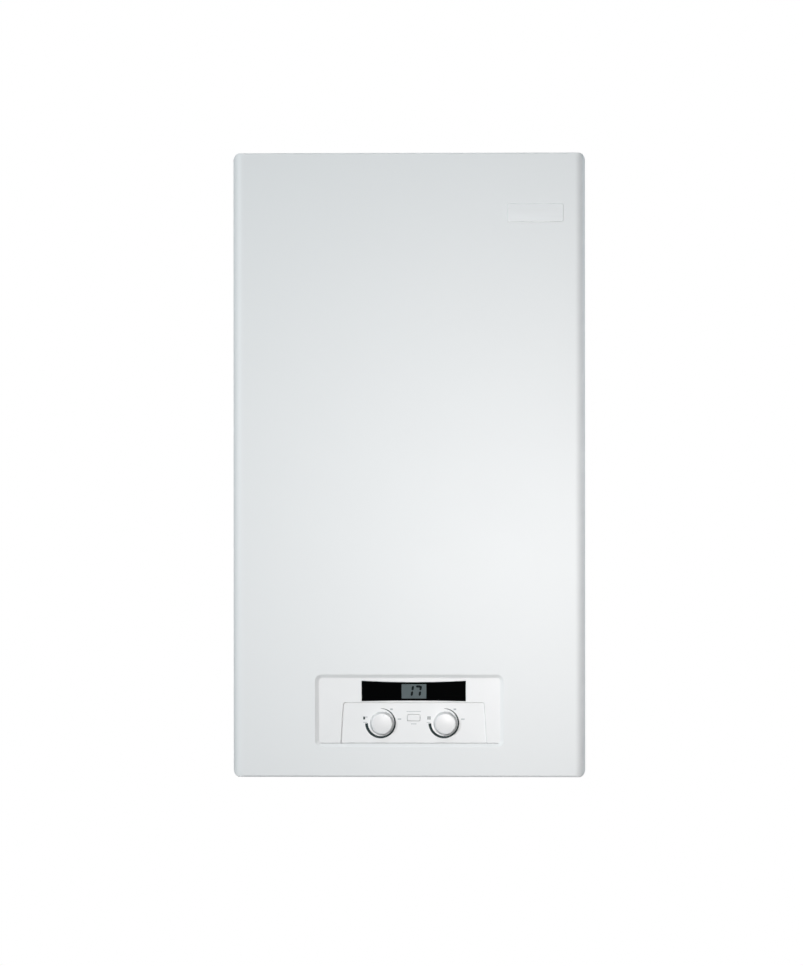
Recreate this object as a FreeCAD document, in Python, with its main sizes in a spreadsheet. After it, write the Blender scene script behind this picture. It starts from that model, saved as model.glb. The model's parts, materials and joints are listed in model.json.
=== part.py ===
"""Wall-hung condensing gas boiler, in millimetres.

X runs to the right seen from the front, Y runs into the wall and Z up. The origin lies on the wall,
midway between the two wall bolts. In the formulas below a place is given as (x, out, up): out is the
distance from the wall towards the room, and up is the height above the casing's lower edge.
"""
import FreeCAD, Part
import math
import os
import re

import Sketcher

SIZES = {
    # casing
    "case_width": 418,
    "case_height": 740,
    "case_depth": 344,
    "bolt_drop": 45,  # the wall bolts' line below the casing's top
    "skin": 1,
    "panel_gap": 1,
    "corner_round": 8,  # the casing's corners seen from the front
    "edge_roll": 12,  # the cover's long upright edges
    "cover_depth": 62,
    "cover_lip": 14,  # the cover's flange, turned inwards at its back
    "cover_foot_lip": 13,
    "cover_head_lip": 24,
    "side_return": 19,
    "side_flange": 17,
    "side_flange_low": 55,
    "side_flange_drop": 40,
    # wall bracket and back frame
    "bracket_width": 340,
    "bracket_plate": 2,
    "bracket_height": 30,
    "bracket_ledge": 10,
    "bracket_lip": 10,
    "wall_bolt_spacing": 280,
    "wall_bolt_hole": 5,
    "frame_sheet": 1.2,
    "frame_inset": 2.5,
    "frame_offset": 13,
    "frame_head_gap": 2,
    "hook_width": 320,
    "hook_sheet": 2,
    "hook_drop": 8,
    "hook_gap": 1,
    # bottom plate
    "floor_low": 30,
    "floor_setback": 38,  # the bottom plate's front behind the folded edges
    "floor_rim": 20,
    "floor_play": 1,
    # window in the cover
    "window_width": 215.6,
    "window_low": 39.5,
    "window_high": 117.6,
    "window_round": 4,
    "window_slope": 3.3,
    "window_depth": 2.4,
    "window_rim": 4,
    # panel behind the window
    "panel_shift": 5.3,  # the display and knobs sit this far right of the middle
    "fascia_lap": 4,
    "fascia_gap": 0.3,
    "fascia_thick": 5,
    "recess_top_width": 167,
    "recess_foot_width": 173,
    "recess_high": 88.2,
    "recess_depth": 1.5,
    "display_width": 123.6,
    "display_low": 89.7,
    "display_high": 114,
    "display_round": 1.5,
    "display_glass": 2.7,
    "display_sunk": 0.5,
    "lcd_width": 38,
    "lcd_height": 22,
    # control box
    "box_side_gap": 29,
    "box_low": 22,
    "box_high": 146,
    "box_gap": 6,  # the control box in front of the bottom plate
    "box_wall": 2,
    "box_round": 3,
    "board_sunk": 26,
    "board_sheet": 1.6,
    "board_width": 190,
    "board_low": 42,
    "board_high": 122,
    "post_radius": 3,
    "pivot_sunk": 26,
    "pivot_up": 30,
    "pivot_radius": 3,
    "pivot_play": 0.06,
    "pivot_boss": 7,
    "pivot_boss_length": 6,
    "arm_gap": 5,
    "arm_sheet": 2,
    "arm_foot": 8,
    "arm_nose": 8,
    "arm_high": 43,
    "arm_clear": 0.3,
    # knobs and button
    "knob_spacing": 75.2,
    "knob_up": 63.4,
    "knob_radius": 14.2,
    "knob_face_radius": 12.6,
    "knob_edge": 1.4,
    "knob_proud": 6.5,
    "knob_lift": 0.6,
    "knob_notch": 1.4,
    "hot_water_turn": 12,  # the knobs' pointers, in degrees clockwise from the top
    "heating_turn": 230,
    "spindle_radius": 3,
    "spindle_hole": 4,
    "pot_size": 16,
    "pot_depth": 8.4,
    "pot_floor": 1.5,
    "button_width": 14.8,
    "button_height": 7.4,
    "button_round": 1.2,
    "button_up": 70.2,
    "button_play": 0.4,
    "button_proud": 0.7,
    "button_travel": 1.5,
    "button_flange": 1.6,
    "button_flange_thick": 1.3,
    "button_stem": 2.5,
    "switch_size": 8,
    "switch_depth": 7.4,
    "gland_side_gap": 31,
    "gland_out": 60,
    "gland_radius": 8,
    "gland_bore": 4,
    "gland_length": 18,
    # cover fixings
    "pin_spacing": 300,
    "pin_radius": 3,
    "pin_length": 14,
    "pin_play": 0.1,
    "pin_drop": 13,
    "seal_width": 7,
    "seal_thick": 3,
    "seal_inset": 1,
    "tab_side_gap": 34,
    "tab_width": 14,
    "tab_reach": 19,
    "screw_setback": 7,
    "screw_radius": 2,
    "screw_head": 4.5,
    "screw_head_thick": 3.5,
    "screw_play": 0.5,
    "badge_side_gap": 26.25,
    "badge_drop": 60.6,
    "badge_width": 66.5,
    "badge_height": 21.4,
    "badge_thick": 0.8,
    "badge_round": 1.6,
    # heat exchanger and burner
    "fan_gap": 7,  # between the fan and the drum below it
    "door_room": 96,  # from the drum's front to the cover's face
    "exchanger_length": 150,
    "exchanger_radius": 100,
    "exchanger_wall": 5,
    "flange_reach": 8,
    "flange_thick": 6,
    "spigot_radius": 11,
    "spigot_length": 20,
    "port_out_high": 170,
    "spigot_rise": 25,
    "drain_x": -40,
    "drain_drop": 105,
    "coil_inner": 66,
    "coil_play": 5,
    "coil_turns": 10,
    "coil_gap": 8,
    "door_thick": 8,
    "insulation_thick": 10,
    "insulation_play": 2,
    "burner_radius": 31,
    "burner_wall": 1.2,
    "burner_gap": 40,
    "burner_flange": 40,
    "burner_flange_thick": 2,
    "electrode_ring": 37,
    "electrode_radius": 4,
    "electrode_pin": 1.2,
    "electrode_length": 60,
    "support_sheet": 3,
    "support_height": 36,
    "support_gap": 5,
    "support_forward": 20,
    "transformer_width": 36,
    "transformer_depth": 50,
    "transformer_height": 40,
    "transformer_gap": 28,
    "lead_radius": 2.5,
    "lead_setback": 39,
    "lead_slack": 28,
    # fan, mixer and silencer
    "fan_front_gap": 29,
    "fan_head": 50,
    "fan_radius": 60,
    "fan_half": 28,
    "fan_wall": 3,
    "outlet_setback": 48,
    "outlet_drop": 2,
    "fan_blades": 16,
    "fan_wheel_gap": 7,
    "fan_hub_radius": 12,
    "fan_blade_inner": 34,
    "fan_blade_thick": 1.5,
    "fan_wheel_half": 18,
    "fan_inlet": 22,
    "shaft_radius": 4,
    "shaft_play": 0.05,
    "motor_radius": 38,
    "motor_length": 57,
    "duct_radius": 26,
    "duct_wall": 2,
    "duct_bend": 34,
    "mixer_length": 34,
    "mixer_radius": 28,
    "mixer_throat": 14,
    "silencer_side_gap": 19,
    "silencer_foot": 30,
    "silencer_head": 82,
    "silencer_depth": 116,
    "silencer_setback": 38,
    "silencer_wall": 2,
    "silencer_slot": 60,
    # flue
    "flue_setback": 45,
    "flue_radius": 30,
    "flue_wall": 1.5,
    "flue_sunk": 2,
    "flue_socket_length": 40,
    "flue_play": 0.2,
    "collar_radius": 50,
    "collar_wall": 1.2,
    "collar_flange": 62,
    "collar_length": 38,
    "collar_flange_thick": 3,
    "collar_web": 2,
    "collar_webs": 3,
    "collar_web_height": 10,
    # expansion vessel
    "vessel_width": 300,
    "vessel_back": 18,
    "vessel_low": 332,
    "vessel_drop": 48,
    "vessel_gap": 6,
    "vessel_round": 40,
    "vessel_edge": 12,
    "vessel_port_inset": 38,
    "vessel_port_radius": 8,
    "vessel_port_drop": 8,
    "vessel_pipe_radius": 5,
    # water side
    "port_out": 120,
    "port_spacing": 65,
    "block_low": 62,
    "block_foot": 24,
    "block_half": 25,
    "block_reach": 15,
    "flow_block_high": 150,
    "return_block_high": 108,
    "heating_thread": 13.2,
    "water_thread": 10.5,
    "thread_length": 16,
    "thread_relief": 0.8,
    "nipple_low": 6,
    "nipple_wall": 3,
    "nut_width": 4,
    "nut_thick": 6,
    "plate_exchanger_gap": 7,
    "plate_exchanger_back": 30,
    "plate_exchanger_lift": 4,
    "plate_exchanger_high": 140,
    "plate_rib": 1.2,
    "plate_count": 12,
    "pump_gap": 4,
    "pump_radius": 48,
    "pump_offset": 23,
    "pump_depth": 58,
    "pump_wall": 6,
    "pump_motor_step": 6,
    "pump_motor_gap": 9,
    "pump_wheel_gap": 6,
    "pump_hub_radius": 9,
    "pump_blades": 6,
    "pump_neck": 14,
    "pump_outlet_rise": 14,
    "vent_radius": 11,
    "vent_shift": 36,
    "vent_rise": 72,
    "pipe_radius": 9,
    "pipe_wall": 1,
    "pipe_bend": 16,
    "pipe_shift": 15,
    "flow_bend_up": 190,
    "return_bend_up": 260,
    "actuator_depth": 50,
    "actuator_width": 40,
    "actuator_height": 46,
    "actuator_up": 118,
    "stem_radius": 3,
    "stem_play": 0.06,
    "poppet_radius": 10,
    "poppet_thick": 4,
    "valve_bore": 12,
    "stem_travel": 8,
    "safety_shift": 23,
    "safety_radius": 10,
    "safety_length": 40,
    "safety_knob_radius": 14,
    "safety_knob_length": 18,
    "safety_grooves": 8,
    "drain_radius": 7,
    "drain_low": 14,
    "filler_radius": 8,
    "filler_stem": 3,
    "filler_knob_radius": 11,
    "filler_knob_low": 8,
    "filler_gap": 3,
    # gas side
    "gas_valve_x": 10,
    "gas_valve_width": 70,
    "gas_valve_back": 165,
    "gas_valve_depth": 70,
    "gas_valve_drop": 240,
    "gas_valve_height": 70,
    "gas_coil_radius": 15,
    "gas_coil_height": 26,
    "gas_pipe_radius": 8,
    "gas_bend_drop": 40,
    "gas_riser_x": -70,
    "riser_setback": 59,
    "gas_run_rise": 35,
    "gas_cross_drop": 55,
    "gas_bend": 14,
    # condensate
    "trap_side_gap": 30,
    "trap_setback": 22,
    "trap_radius": 22,
    "trap_drop": 95,  # the trap's shoulder below the hose's run
    "trap_outlet": 10,
    "trap_outlet_low": 12,
    "trap_neck": 9,
    "trap_neck_length": 12,
    "hose_radius": 8,
    "hose_wall": 1.5,
    "hose_bend": 16,
    "hose_drop": 30,
}

# places and sizes that follow from those above, each as a formula in the same sheet
FOLLOWS = {
    "bolt_line": "case_height - bolt_drop",
    "side_flange_high": "case_height - side_flange_drop",
    "cover_back": "case_depth - cover_depth",
    "return_front": "cover_back - seal_thick",
    "return_back": "return_front - skin",
    "floor_front": "return_back - floor_setback",
    "arm_back": "floor_front - arm_foot",
    "box_back": "floor_front + box_gap",
    "box_width": "case_width - 2 * box_side_gap",
    "board_out": "case_depth - board_sunk",
    "pivot_out": "case_depth - pivot_sunk",
    "screw_out": "cover_back - screw_setback",
    "tab_x": "case_width / 2 - tab_side_gap",
    "gland_x": "case_width / 2 - gland_side_gap",
    "badge_x": "(case_width - badge_width) / 2 - badge_side_gap",
    "badge_up": "case_height - badge_drop - badge_height / 2",
    "fan_up": "case_height - fan_head - fan_radius",
    "fan_out": "case_depth - fan_front_gap - fan_radius",
    "fan_outlet_out": "case_depth - outlet_setback",
    "fan_outlet_up": "fan_up - fan_radius - outlet_drop",
    "fan_wheel_radius": "fan_radius - fan_wall - fan_wheel_gap",
    "silencer_left": "case_width / 2 - silencer_side_gap",
    "silencer_low": "fan_up - silencer_foot",
    "silencer_high": "fan_up + silencer_head",
    "silencer_front": "case_depth - silencer_setback",
    "silencer_back": "silencer_front - silencer_depth",
    "flange_radius": "exchanger_radius + flange_reach",
    "exchanger_up": "fan_up - fan_radius - fan_gap - flange_radius",
    "exchanger_front": "case_depth - door_room",
    "exchanger_back": "exchanger_front - exchanger_length",
    "spigot_reach": "exchanger_radius + spigot_length",
    "flow_port_up": "exchanger_up + spigot_rise",
    "return_port_up": "exchanger_up - spigot_rise",
    "drain_up": "exchanger_up - drain_drop",
    "coil_start": "exchanger_back + coil_gap",
    "coil_outer": "exchanger_radius - exchanger_wall - coil_play",
    "coil_step": "(exchanger_length - coil_gap - insulation_thick - insulation_play) / coil_turns",
    "insulation_radius": "exchanger_radius - exchanger_wall - insulation_play",
    "burner_length": "exchanger_length - burner_gap",
    "flue_out": "fan_out - fan_radius - flue_setback",
    "vessel_high": "case_height - vessel_drop",
    "vessel_depth": "exchanger_back - vessel_gap - vessel_back",
    "vessel_port_x": "vessel_width / 2 - vessel_port_inset",
    "support_half": "vessel_width / 2 + support_gap",
    "support_out": "exchanger_back + support_forward",
    "transformer_out": "return_back - transformer_gap - transformer_depth",
    "lead_out": "case_depth - lead_setback",
    "plate_exchanger_width": "2 * (vessel_port_x - vessel_pipe_radius - plate_exchanger_gap)",
    "plate_exchanger_low": "block_low + plate_exchanger_lift",
    "pump_up": "return_block_high + pump_gap + pump_radius",
    "pump_back": "port_out - pump_offset",
    "pump_front": "pump_back + pump_depth",
    "pump_motor_radius": "pump_radius - pump_motor_step",
    "pump_motor_length": "box_back - pump_motor_gap - pump_front",
    "pump_wheel_radius": "pump_radius - pump_wall - pump_wheel_gap",
    "pump_outlet_up": "pump_up + pump_radius + pump_outlet_rise",
    "vent_high": "pump_up + vent_rise",
    "safety_x": "port_spacing + safety_shift",
    "filler_x": "port_spacing * 3 / 2",
    "filler_knob_high": "floor_low - filler_gap",
    "gas_valve_low": "exchanger_up - gas_valve_drop",
    "gas_valve_high": "gas_valve_low + gas_valve_height",
    "gas_bend_up": "gas_valve_low - gas_bend_drop",
    "gas_riser_out": "case_depth - riser_setback",
    "gas_run_up": "gas_valve_low + gas_run_rise",
    "gas_cross_up": "fan_up - gas_cross_drop",
    "trap_x": "-(case_width / 2 - trap_side_gap)",
    "trap_out": "floor_front - trap_setback",
    "trap_low": "floor_low + floor_rim",
    "hose_run_up": "drain_up - hose_drop",
    "trap_high": "hose_run_up - trap_drop",
    "trap_neck_high": "trap_high + trap_neck_length",
}

doc = FreeCAD.newDocument("gas_boiler")
sheet = doc.addObject("Spreadsheet::Sheet", "Sizes")
kept = {}
VIEWS = {"front": "XZ_Plane", "plan": "XY_Plane", "side": "YZ_Plane"}
TURNS = {"x": FreeCAD.Rotation(FreeCAD.Vector(0, 1, 0), 90),
         "out": FreeCAD.Rotation(FreeCAD.Vector(1, 0, 0), 90),
         "up": FreeCAD.Rotation()}


def fill_sheet():
    """One row for each name: the driving dimensions as plain numbers, then what follows from them."""
    values = {**{name: str(value) for name, value in SIZES.items()},
              **{name: f"={text}" for name, text in FOLLOWS.items()}}
    for row, (name, value) in enumerate(values.items(), start=1):
        sheet.set(f"A{row}", name)
        sheet.set(f"B{row}", value)
        sheet.setAlias(f"B{row}", name)
    doc.recompute()


def formula(text):
    """The same formula with each name pointing at its cell."""
    named = {*SIZES, *FOLLOWS}
    return re.sub(r"[a-z][a-z_]+", lambda m: f"Sizes.{m[0]}" if m[0] in named else m[0], str(text))


def number(text):
    """A formula's value as a float."""
    value = sheet.evalExpression(formula(text))
    return float(getattr(value, "Value", value))


def spot(x, out, up):
    """A place as a point of the model."""
    return FreeCAD.Vector(number(x), -number(out), number(f"{up} - bolt_line"))


def bind(item, **sizes):
    for name, text in sizes.items():
        item.setExpression(name, formula(text))


def seat(item, x="0", out="0", up="0"):
    """Puts an item's own origin at (x, out, up)."""
    item.setExpression("Placement.Base.x", formula(x))
    item.setExpression("Placement.Base.y", formula(f"-({out})"))
    item.setExpression("Placement.Base.z", formula(f"{up} - bolt_line"))


def keep(label, item):
    """Names a finished sub-part."""
    item.Label = label
    kept[label] = item
    return item


def block(x, out, up):
    """A square-edged block between two places, each given as (low, high)."""
    item = doc.addObject("Part::Box", "block")
    bind(item, Length=f"({x[1]}) - ({x[0]})", Width=f"({out[1]}) - ({out[0]})",
         Height=f"({up[1]}) - ({up[0]})")
    seat(item, x[0], out[1], up[0])
    return item


def rod(axis, radius, at, span):
    """A cylinder along an axis: at gives its other two coordinates, in the order x, out, up."""
    item = doc.addObject("Part::Cylinder", "rod")
    bind(item, Radius=radius, Height=f"({span[1]}) - ({span[0]})")
    item.Placement = FreeCAD.Placement(FreeCAD.Vector(), TURNS[axis])
    places = {"x": (span[0], *at), "out": (at[0], span[0], at[1]), "up": (*at, span[0])}
    seat(item, *places[axis])
    return item


def cut(base, *tools):
    item = doc.addObject("Part::Cut", "cut")
    item.Base = base
    item.Tool = tools[0] if len(tools) == 1 else fuse(*tools)
    return item


def fuse(*items):
    item = doc.addObject("Part::MultiFuse", "fused")
    item.Shapes = list(items)
    item.Refine = True
    return item


def common(base, tool):
    item = doc.addObject("Part::Common", "common")
    item.Base = base
    item.Tool = tool
    return item


def group(*items):
    """Separate solids that share one node."""
    item = doc.addObject("Part::Compound", "group")
    item.Links = list(items)
    return item


def new_body(name, x="0", out="0", up="0"):
    body = doc.addObject("PartDesign::Body", name)
    seat(body, x, out, up)
    return body


def origin_part(body, role):
    return next(part for part in body.Origin.OriginFeatures if part.Role == role)


def in_view(view, point):
    """A corner's formulas in the sketch's own directions."""
    first, second = point
    if view == "plan":
        return first, f"-({second})"
    if view == "side":
        return f"-({first})", second
    return first, second


def draw(body, view, corners, circles, offset):
    """A sketch of one closed outline, of circles, or of both."""
    sketch = body.newObject("Sketcher::SketchObject", f"{body.Name}_{view}")
    sketch.AttachmentSupport = [(origin_part(body, VIEWS[view]), "")]
    sketch.MapMode = "FlatFace"
    bind(sketch, **{"AttachmentOffset.Base.z": offset})
    points = [in_view(view, corner) for corner in corners]
    spots = [FreeCAD.Vector(number(a), number(b), 0) for a, b in points]
    lines = [Part.LineSegment(here, there) for here, there in zip(spots, spots[1:] + spots[:1])]
    edges = [sketch.addGeometry(line) for line in lines]
    for here, there in zip(edges, edges[1:] + edges[:1]):
        sketch.addConstraint(Sketcher.Constraint("Coincident", here, 2, there, 1))
    for edge, point in zip(edges, points):
        hold_point(sketch, edge, 1, point)
    for centre, radius in circles:
        point = in_view(view, centre)
        middle = FreeCAD.Vector(number(point[0]), number(point[1]), 0)
        edge = sketch.addGeometry(Part.Circle(middle, FreeCAD.Vector(0, 0, 1), number(radius)))
        hold_point(sketch, edge, 3, point)
        index = sketch.addConstraint(Sketcher.Constraint("Radius", edge, number(radius)))
        sketch.setExpression(f"Constraints[{index}]", formula(radius))
    return sketch


def hold_point(sketch, edge, end, point):
    """Ties one end of an edge to a pair of formulas."""
    for kind, text in zip(("DistanceX", "DistanceY"), point):
        index = sketch.addConstraint(Sketcher.Constraint(kind, -1, 1, edge, end, number(text)))
        sketch.setExpression(f"Constraints[{index}]", formula(text))


def pad(body, view, corners, span, circles=()):
    """Material between two offsets of a view: out from the wall, up, or along x."""
    feature_sketch = draw(body, view, corners, circles, span[0])
    feature = body.newObject("PartDesign::Pad", f"{body.Name}_pad")
    feature.Profile = feature_sketch
    bind(feature, Length=f"({span[1]}) - ({span[0]})")
    return feature


def pocket(body, view, corners, span, circles=()):
    """A hole or recess between two offsets of a view."""
    doc.recompute()
    before = body.Shape.Volume
    feature_sketch = draw(body, view, corners, circles, span[0])
    feature = body.newObject("PartDesign::Pocket", f"{body.Name}_pocket")
    feature.Profile = feature_sketch
    feature.Reversed = True
    bind(feature, Length=f"({span[1]}) - ({span[0]})")
    doc.recompute()
    if body.Shape.Volume > before - 0.01:
        raise RuntimeError(f"a pocket of {body.Name} cuts nothing")
    return feature


def rectangle(first, second):
    return [(first[0], second[0]), (first[1], second[0]), (first[1], second[1]), (first[0], second[1])]


def round_edges(body, radius, wanted):
    """Rounds the edges whose bounding box passes a test."""
    doc.recompute()
    base = body.Tip
    names = [f"Edge{i}" for i, edge in enumerate(base.Shape.Edges, start=1) if wanted(edge.BoundBox)]
    feature = body.newObject("PartDesign::Fillet", f"{body.Name}_round")
    feature.Base = (base, names)
    bind(feature, Radius=radius)
    return feature


def rounded_block(name, x, out, up, radius, along="Y"):
    """A block whose four edges along one axis are rounded."""
    body = new_body(name)
    pad(body, "front", rectangle(x, up), out)
    round_edges(body, radius, lambda box: getattr(box, f"{along}Length") > 0.01)
    return body


def turned(name, axis, profile, at):
    """A lathe-turned body: the profile lists (along the axis, radius)."""
    places = {"x": ("0", *at), "out": (at[0], "0", at[1]), "up": (*at, "0")}
    lines = {"x": "X_Axis", "out": "Y_Axis", "up": "Z_Axis"}
    body = new_body(name, *places[axis])
    corners = [(radius, along) if axis == "up" else (along, radius) for along, radius in profile]
    outline = draw(body, "side" if axis == "out" else "front", corners, (), "0")
    feature = body.newObject("PartDesign::Revolution", f"{name}_turn")
    feature.Profile = outline
    feature.ReferenceAxis = (origin_part(body, lines[axis]), [""])
    feature.Angle = 360
    return body


def tube(name, axis, radius, bore, at, span):
    """A straight round tube."""
    return turned(name, axis, [(span[0], bore), (span[1], bore), (span[1], radius), (span[0], radius)], at)


def around(body, feature, axis, count):
    """Repeats a feature evenly round one of its body's axes."""
    pattern = body.newObject("PartDesign::PolarPattern", f"{body.Name}_pattern")
    pattern.Originals = [feature]
    pattern.Axis = (origin_part(body, axis), [""])
    pattern.Angle = 360
    bind(pattern, Occurrences=count)
    body.Tip = pattern
    return pattern


def rounded_path(spots, radius):
    """Straight runs joined by tangent arcs, as one wire."""
    edges = []
    start = spots[0]
    for before, corner, after in zip(spots, spots[1:], spots[2:]):
        back = (before - corner).normalize()
        on = (after - corner).normalize()
        half = back.getAngle(on) / 2
        first = corner + back * (radius / math.tan(half))
        last = corner + on * (radius / math.tan(half))
        middle = corner + (back + on).normalize() * (radius / math.sin(half) - radius)
        if start.distanceToPoint(first) > 0.001:
            edges.append(Part.LineSegment(start, first).toShape())
        edges.append(Part.Arc(first, middle, last).toShape())
        start = last
    if start.distanceToPoint(spots[-1]) > 0.001:
        edges.append(Part.LineSegment(start, spots[-1]).toShape())
    return Part.Wire(edges)


def bent_tube(label, places, bend, radius, bore=None):
    """A bent tube through the places, open at both ends, or a solid cable if it has no bore."""
    spots = [spot(*place) - spot(*places[0]) for place in places]
    path = rounded_path(spots, number(bend))
    shells = []
    for size in (radius, bore):
        if size:
            ring = Part.Wire(Part.makeCircle(number(size), FreeCAD.Vector(), spots[1] - spots[0]))
            shells.append(path.makePipeShell([ring], True, False))
    item = doc.addObject("Part::Feature", label)
    item.Shape = shells[0].cut(shells[1]) if bore else shells[0]
    seat(item, *places[0])
    return item


def pipe(label, *sizes):
    """A bent tube that is a sub-part of its own."""
    return keep(label, bent_tube(label, *sizes))


fill_sheet()
half = "(case_width / 2)"
side_front = "(cover_back - panel_gap)"
frame_front = "(frame_offset + frame_sheet)"
fascia_front = "(case_depth - window_depth)"
fascia_back = f"({fascia_front} - fascia_thick)"
left, right = "-1", "1"

# wall bracket: a plate with a ledge and an upright lip
bracket_low = "(bolt_line - bracket_height / 2)"
bracket_top = "(bolt_line + bracket_height / 2)"
bracket_lip_top = f"({bracket_top} + bracket_lip)"
body = new_body("wall_bracket")
pad(body, "side", [("0", bracket_low), ("bracket_plate", bracket_low),
                   ("bracket_plate", f"{bracket_top} - bracket_plate"),
                   ("bracket_ledge", f"{bracket_top} - bracket_plate"), ("bracket_ledge", bracket_lip_top),
                   ("bracket_ledge - bracket_plate", bracket_lip_top),
                   ("bracket_ledge - bracket_plate", bracket_top),
                   ("0", bracket_top)], ("-bracket_width / 2", "bracket_width / 2"))
pocket(body, "front", [], ("0", "bracket_plate"),
       [((f"{side} * wall_bolt_spacing / 2", "bolt_line"), "wall_bolt_hole") for side in (left, right)])
keep("wall_bracket", body)

# back frame: a sheet that stands off the wall on its side edges, hangs on the bracket by a hook and
# reaches round the expansion vessel to hold the heat exchanger
frame_side = f"({half} - frame_inset)"
frame_top = "(case_height - skin - frame_head_gap)"
hook_back = "(bracket_ledge - bracket_plate - hook_gap - hook_sheet)"
body = new_body("frame_sheet_body")
pad(body, "front", rectangle((f"-{frame_side}", frame_side), ("floor_low", frame_top)),
    ("frame_offset", frame_front))
for side in (left, right):
    wall = sorted((f"{side} * {frame_side}", f"{side} * ({frame_side} - frame_sheet)"), key=number)
    pad(body, "front", rectangle(wall, ("floor_low", frame_top)), ("0", "frame_offset"))
pad(body, "side", [(hook_back, f"{bracket_lip_top} - hook_drop"),
                   (f"{hook_back} + hook_sheet", f"{bracket_lip_top} - hook_drop"),
                   (f"{hook_back} + hook_sheet", bracket_lip_top), ("frame_offset", bracket_lip_top),
                   ("frame_offset", f"{bracket_lip_top} + hook_sheet"),
                   (hook_back, f"{bracket_lip_top} + hook_sheet")], ("-hook_width / 2", "hook_width / 2"))
exchanger_axis = ("0", "exchanger_up")
drum_room = rod("out", "exchanger_radius", exchanger_axis, ("exchanger_back", "exchanger_front"))
tall = ("exchanger_up - support_height / 2", "exchanger_up + support_height / 2")
supports = []
for side in (left, right):
    long_x = sorted((f"{side} * support_half", f"{side} * (support_half - support_sheet)"), key=number)
    cross_x = sorted((f"{side} * (support_half - support_sheet)", f"{side} * exchanger_radius / 2"),
                     key=number)
    supports += [block(long_x, (frame_front, "support_out"), tall),
                 block(cross_x, ("support_out - support_sheet", "support_out"), tall)]
keep("back_frame", cut(fuse(body, *supports), drum_room))

# side panels: sheet with a folded edge for the cover's seal and another against the back frame
for label, side in (("left_side_panel", left), ("right_side_panel", right)):
    body = new_body(label)
    outer, inner = f"{side} * {half}", f"{side} * ({half} - skin)"
    fold, hem = f"{side} * ({half} - side_return)", f"{side} * ({half} - skin - side_flange)"
    pad(body, "plan", [(outer, "0"), (outer, side_front), (inner, side_front), (inner, "return_front"),
                       (fold, "return_front"), (fold, "return_back"), (inner, "return_back"), (inner, "0")],
        ("0", "case_height - skin"))
    pad(body, "plan", [(inner, frame_front), (inner, f"{frame_front} + skin"), (hem, f"{frame_front} + skin"),
                       (hem, frame_front)], ("side_flange_low", "side_flange_high"))
    keep(label, body)

# top panel: sheet with two folded edges, the flue hole and the two pins that the cover hangs on
body = new_body("top_panel")
pad(body, "side", [("0", "case_height - skin"), ("0", "case_height"), (side_front, "case_height"),
                   (side_front, "case_height - skin")], (f"-{half}", half))
fold_side = f"({half} - side_return)"
pad(body, "front", rectangle((f"-{fold_side}", fold_side),
                             ("case_height - side_return", "case_height - skin")),
    ("return_back", "return_front"))
hem_side = f"({half} - skin - side_flange)"
pad(body, "front", rectangle((f"-{hem_side}", hem_side), ("case_height - side_return", "case_height - skin")),
    (frame_front, f"{frame_front} + skin"))
pad(body, "front", [], ("return_front", "return_front + pin_length"),
    [((f"{side} * pin_spacing / 2", "case_height - pin_drop"), "pin_radius") for side in (left, right)])
pocket(body, "plan", [], ("case_height - skin", "case_height"), [(("0", "flue_out"), "collar_radius")])
keep("top_panel", body)

# bottom plate: a tray with three upright rims and a hole for everything that passes down through it
floor_top = "(floor_low + frame_sheet)"
floor_side = f"({half} - skin)"
body = new_body("bottom_plate")
pad(body, "front", [(f"-{floor_side}", "floor_low"), (floor_side, "floor_low"),
                    (floor_side, "floor_low + floor_rim"),
                    (f"{floor_side} - frame_sheet", "floor_low + floor_rim"),
                    (f"{floor_side} - frame_sheet", floor_top),
                    (f"-{floor_side} + frame_sheet", floor_top),
                    (f"-{floor_side} + frame_sheet", "floor_low + floor_rim"),
                    (f"-{floor_side}", "floor_low + floor_rim")], (frame_front, "floor_front"))
pad(body, "front", rectangle((f"-{floor_side} + frame_sheet", f"{floor_side} - frame_sheet"),
                             (floor_top, "floor_low + floor_rim")),
                             (frame_front, f"{frame_front} + frame_sheet"))
PORTS = {-2: "heating_thread", -1: "water_thread", 0: "heating_thread", 1: "water_thread",
         2: "heating_thread"}
holes = [((f"{place} * port_spacing", "port_out"), f"{size} + floor_play") for place, size in PORTS.items()]
holes += [(("trap_x", "trap_out"), "trap_outlet + floor_play"), (("gland_x", "gland_out"), "gland_radius"),
          (("safety_x", "port_out + block_half + safety_length / 2"), "drain_radius + floor_play")]
pocket(body, "plan", [], ("floor_low", floor_top), holes)
pocket(body, "plan", [], ("floor_low", floor_top), [(("filler_x", "port_out"), "filler_stem + floor_play")])
keep("bottom_plate", body)

# cable gland in the bottom plate
body = new_body("cable_gland")
gland_low = "(floor_low - gland_length / 3)"
pad(body, "plan", [], (gland_low, f"{gland_low} + gland_length"),
    [(("gland_x", "gland_out"), "gland_radius")])
pad(body, "plan", [], (floor_top, f"{floor_top} + 4 * skin"),
    [(("gland_x", "gland_out"), "gland_radius + 4 * skin")])
pocket(body, "plan", [], (gland_low, f"{gland_low} + gland_length"),
       [(("gland_x", "gland_out"), "gland_bore")])
keep("cable_gland", body)


# front cover: a pan with rolled upright edges, hollow behind, with a flange all round and the window
def pan(name, inset, back):
    """The pan's form as a solid, this far inside its outer faces."""
    side, low, high = f"({half} - {inset})", inset, f"case_height - {inset}"
    roll = new_body(f"{name}_roll")
    pad(roll, "front", rectangle((f"-{side}", side), (low, high)), (back, f"case_depth - {inset}"))
    front = -number(f"case_depth - {inset}")
    round_edges(roll, f"edge_roll - {inset}", lambda box: box.ZLength > 1 and abs(box.YMin - front) < 0.01
                and box.YLength < 0.01 and box.XLength < 0.01)
    corners = rounded_block(f"{name}_corners", (f"-{side}", side), (back, f"case_depth - {inset}"),
                            (low, high), f"corner_round - {inset}")
    return common(roll, corners)


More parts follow.
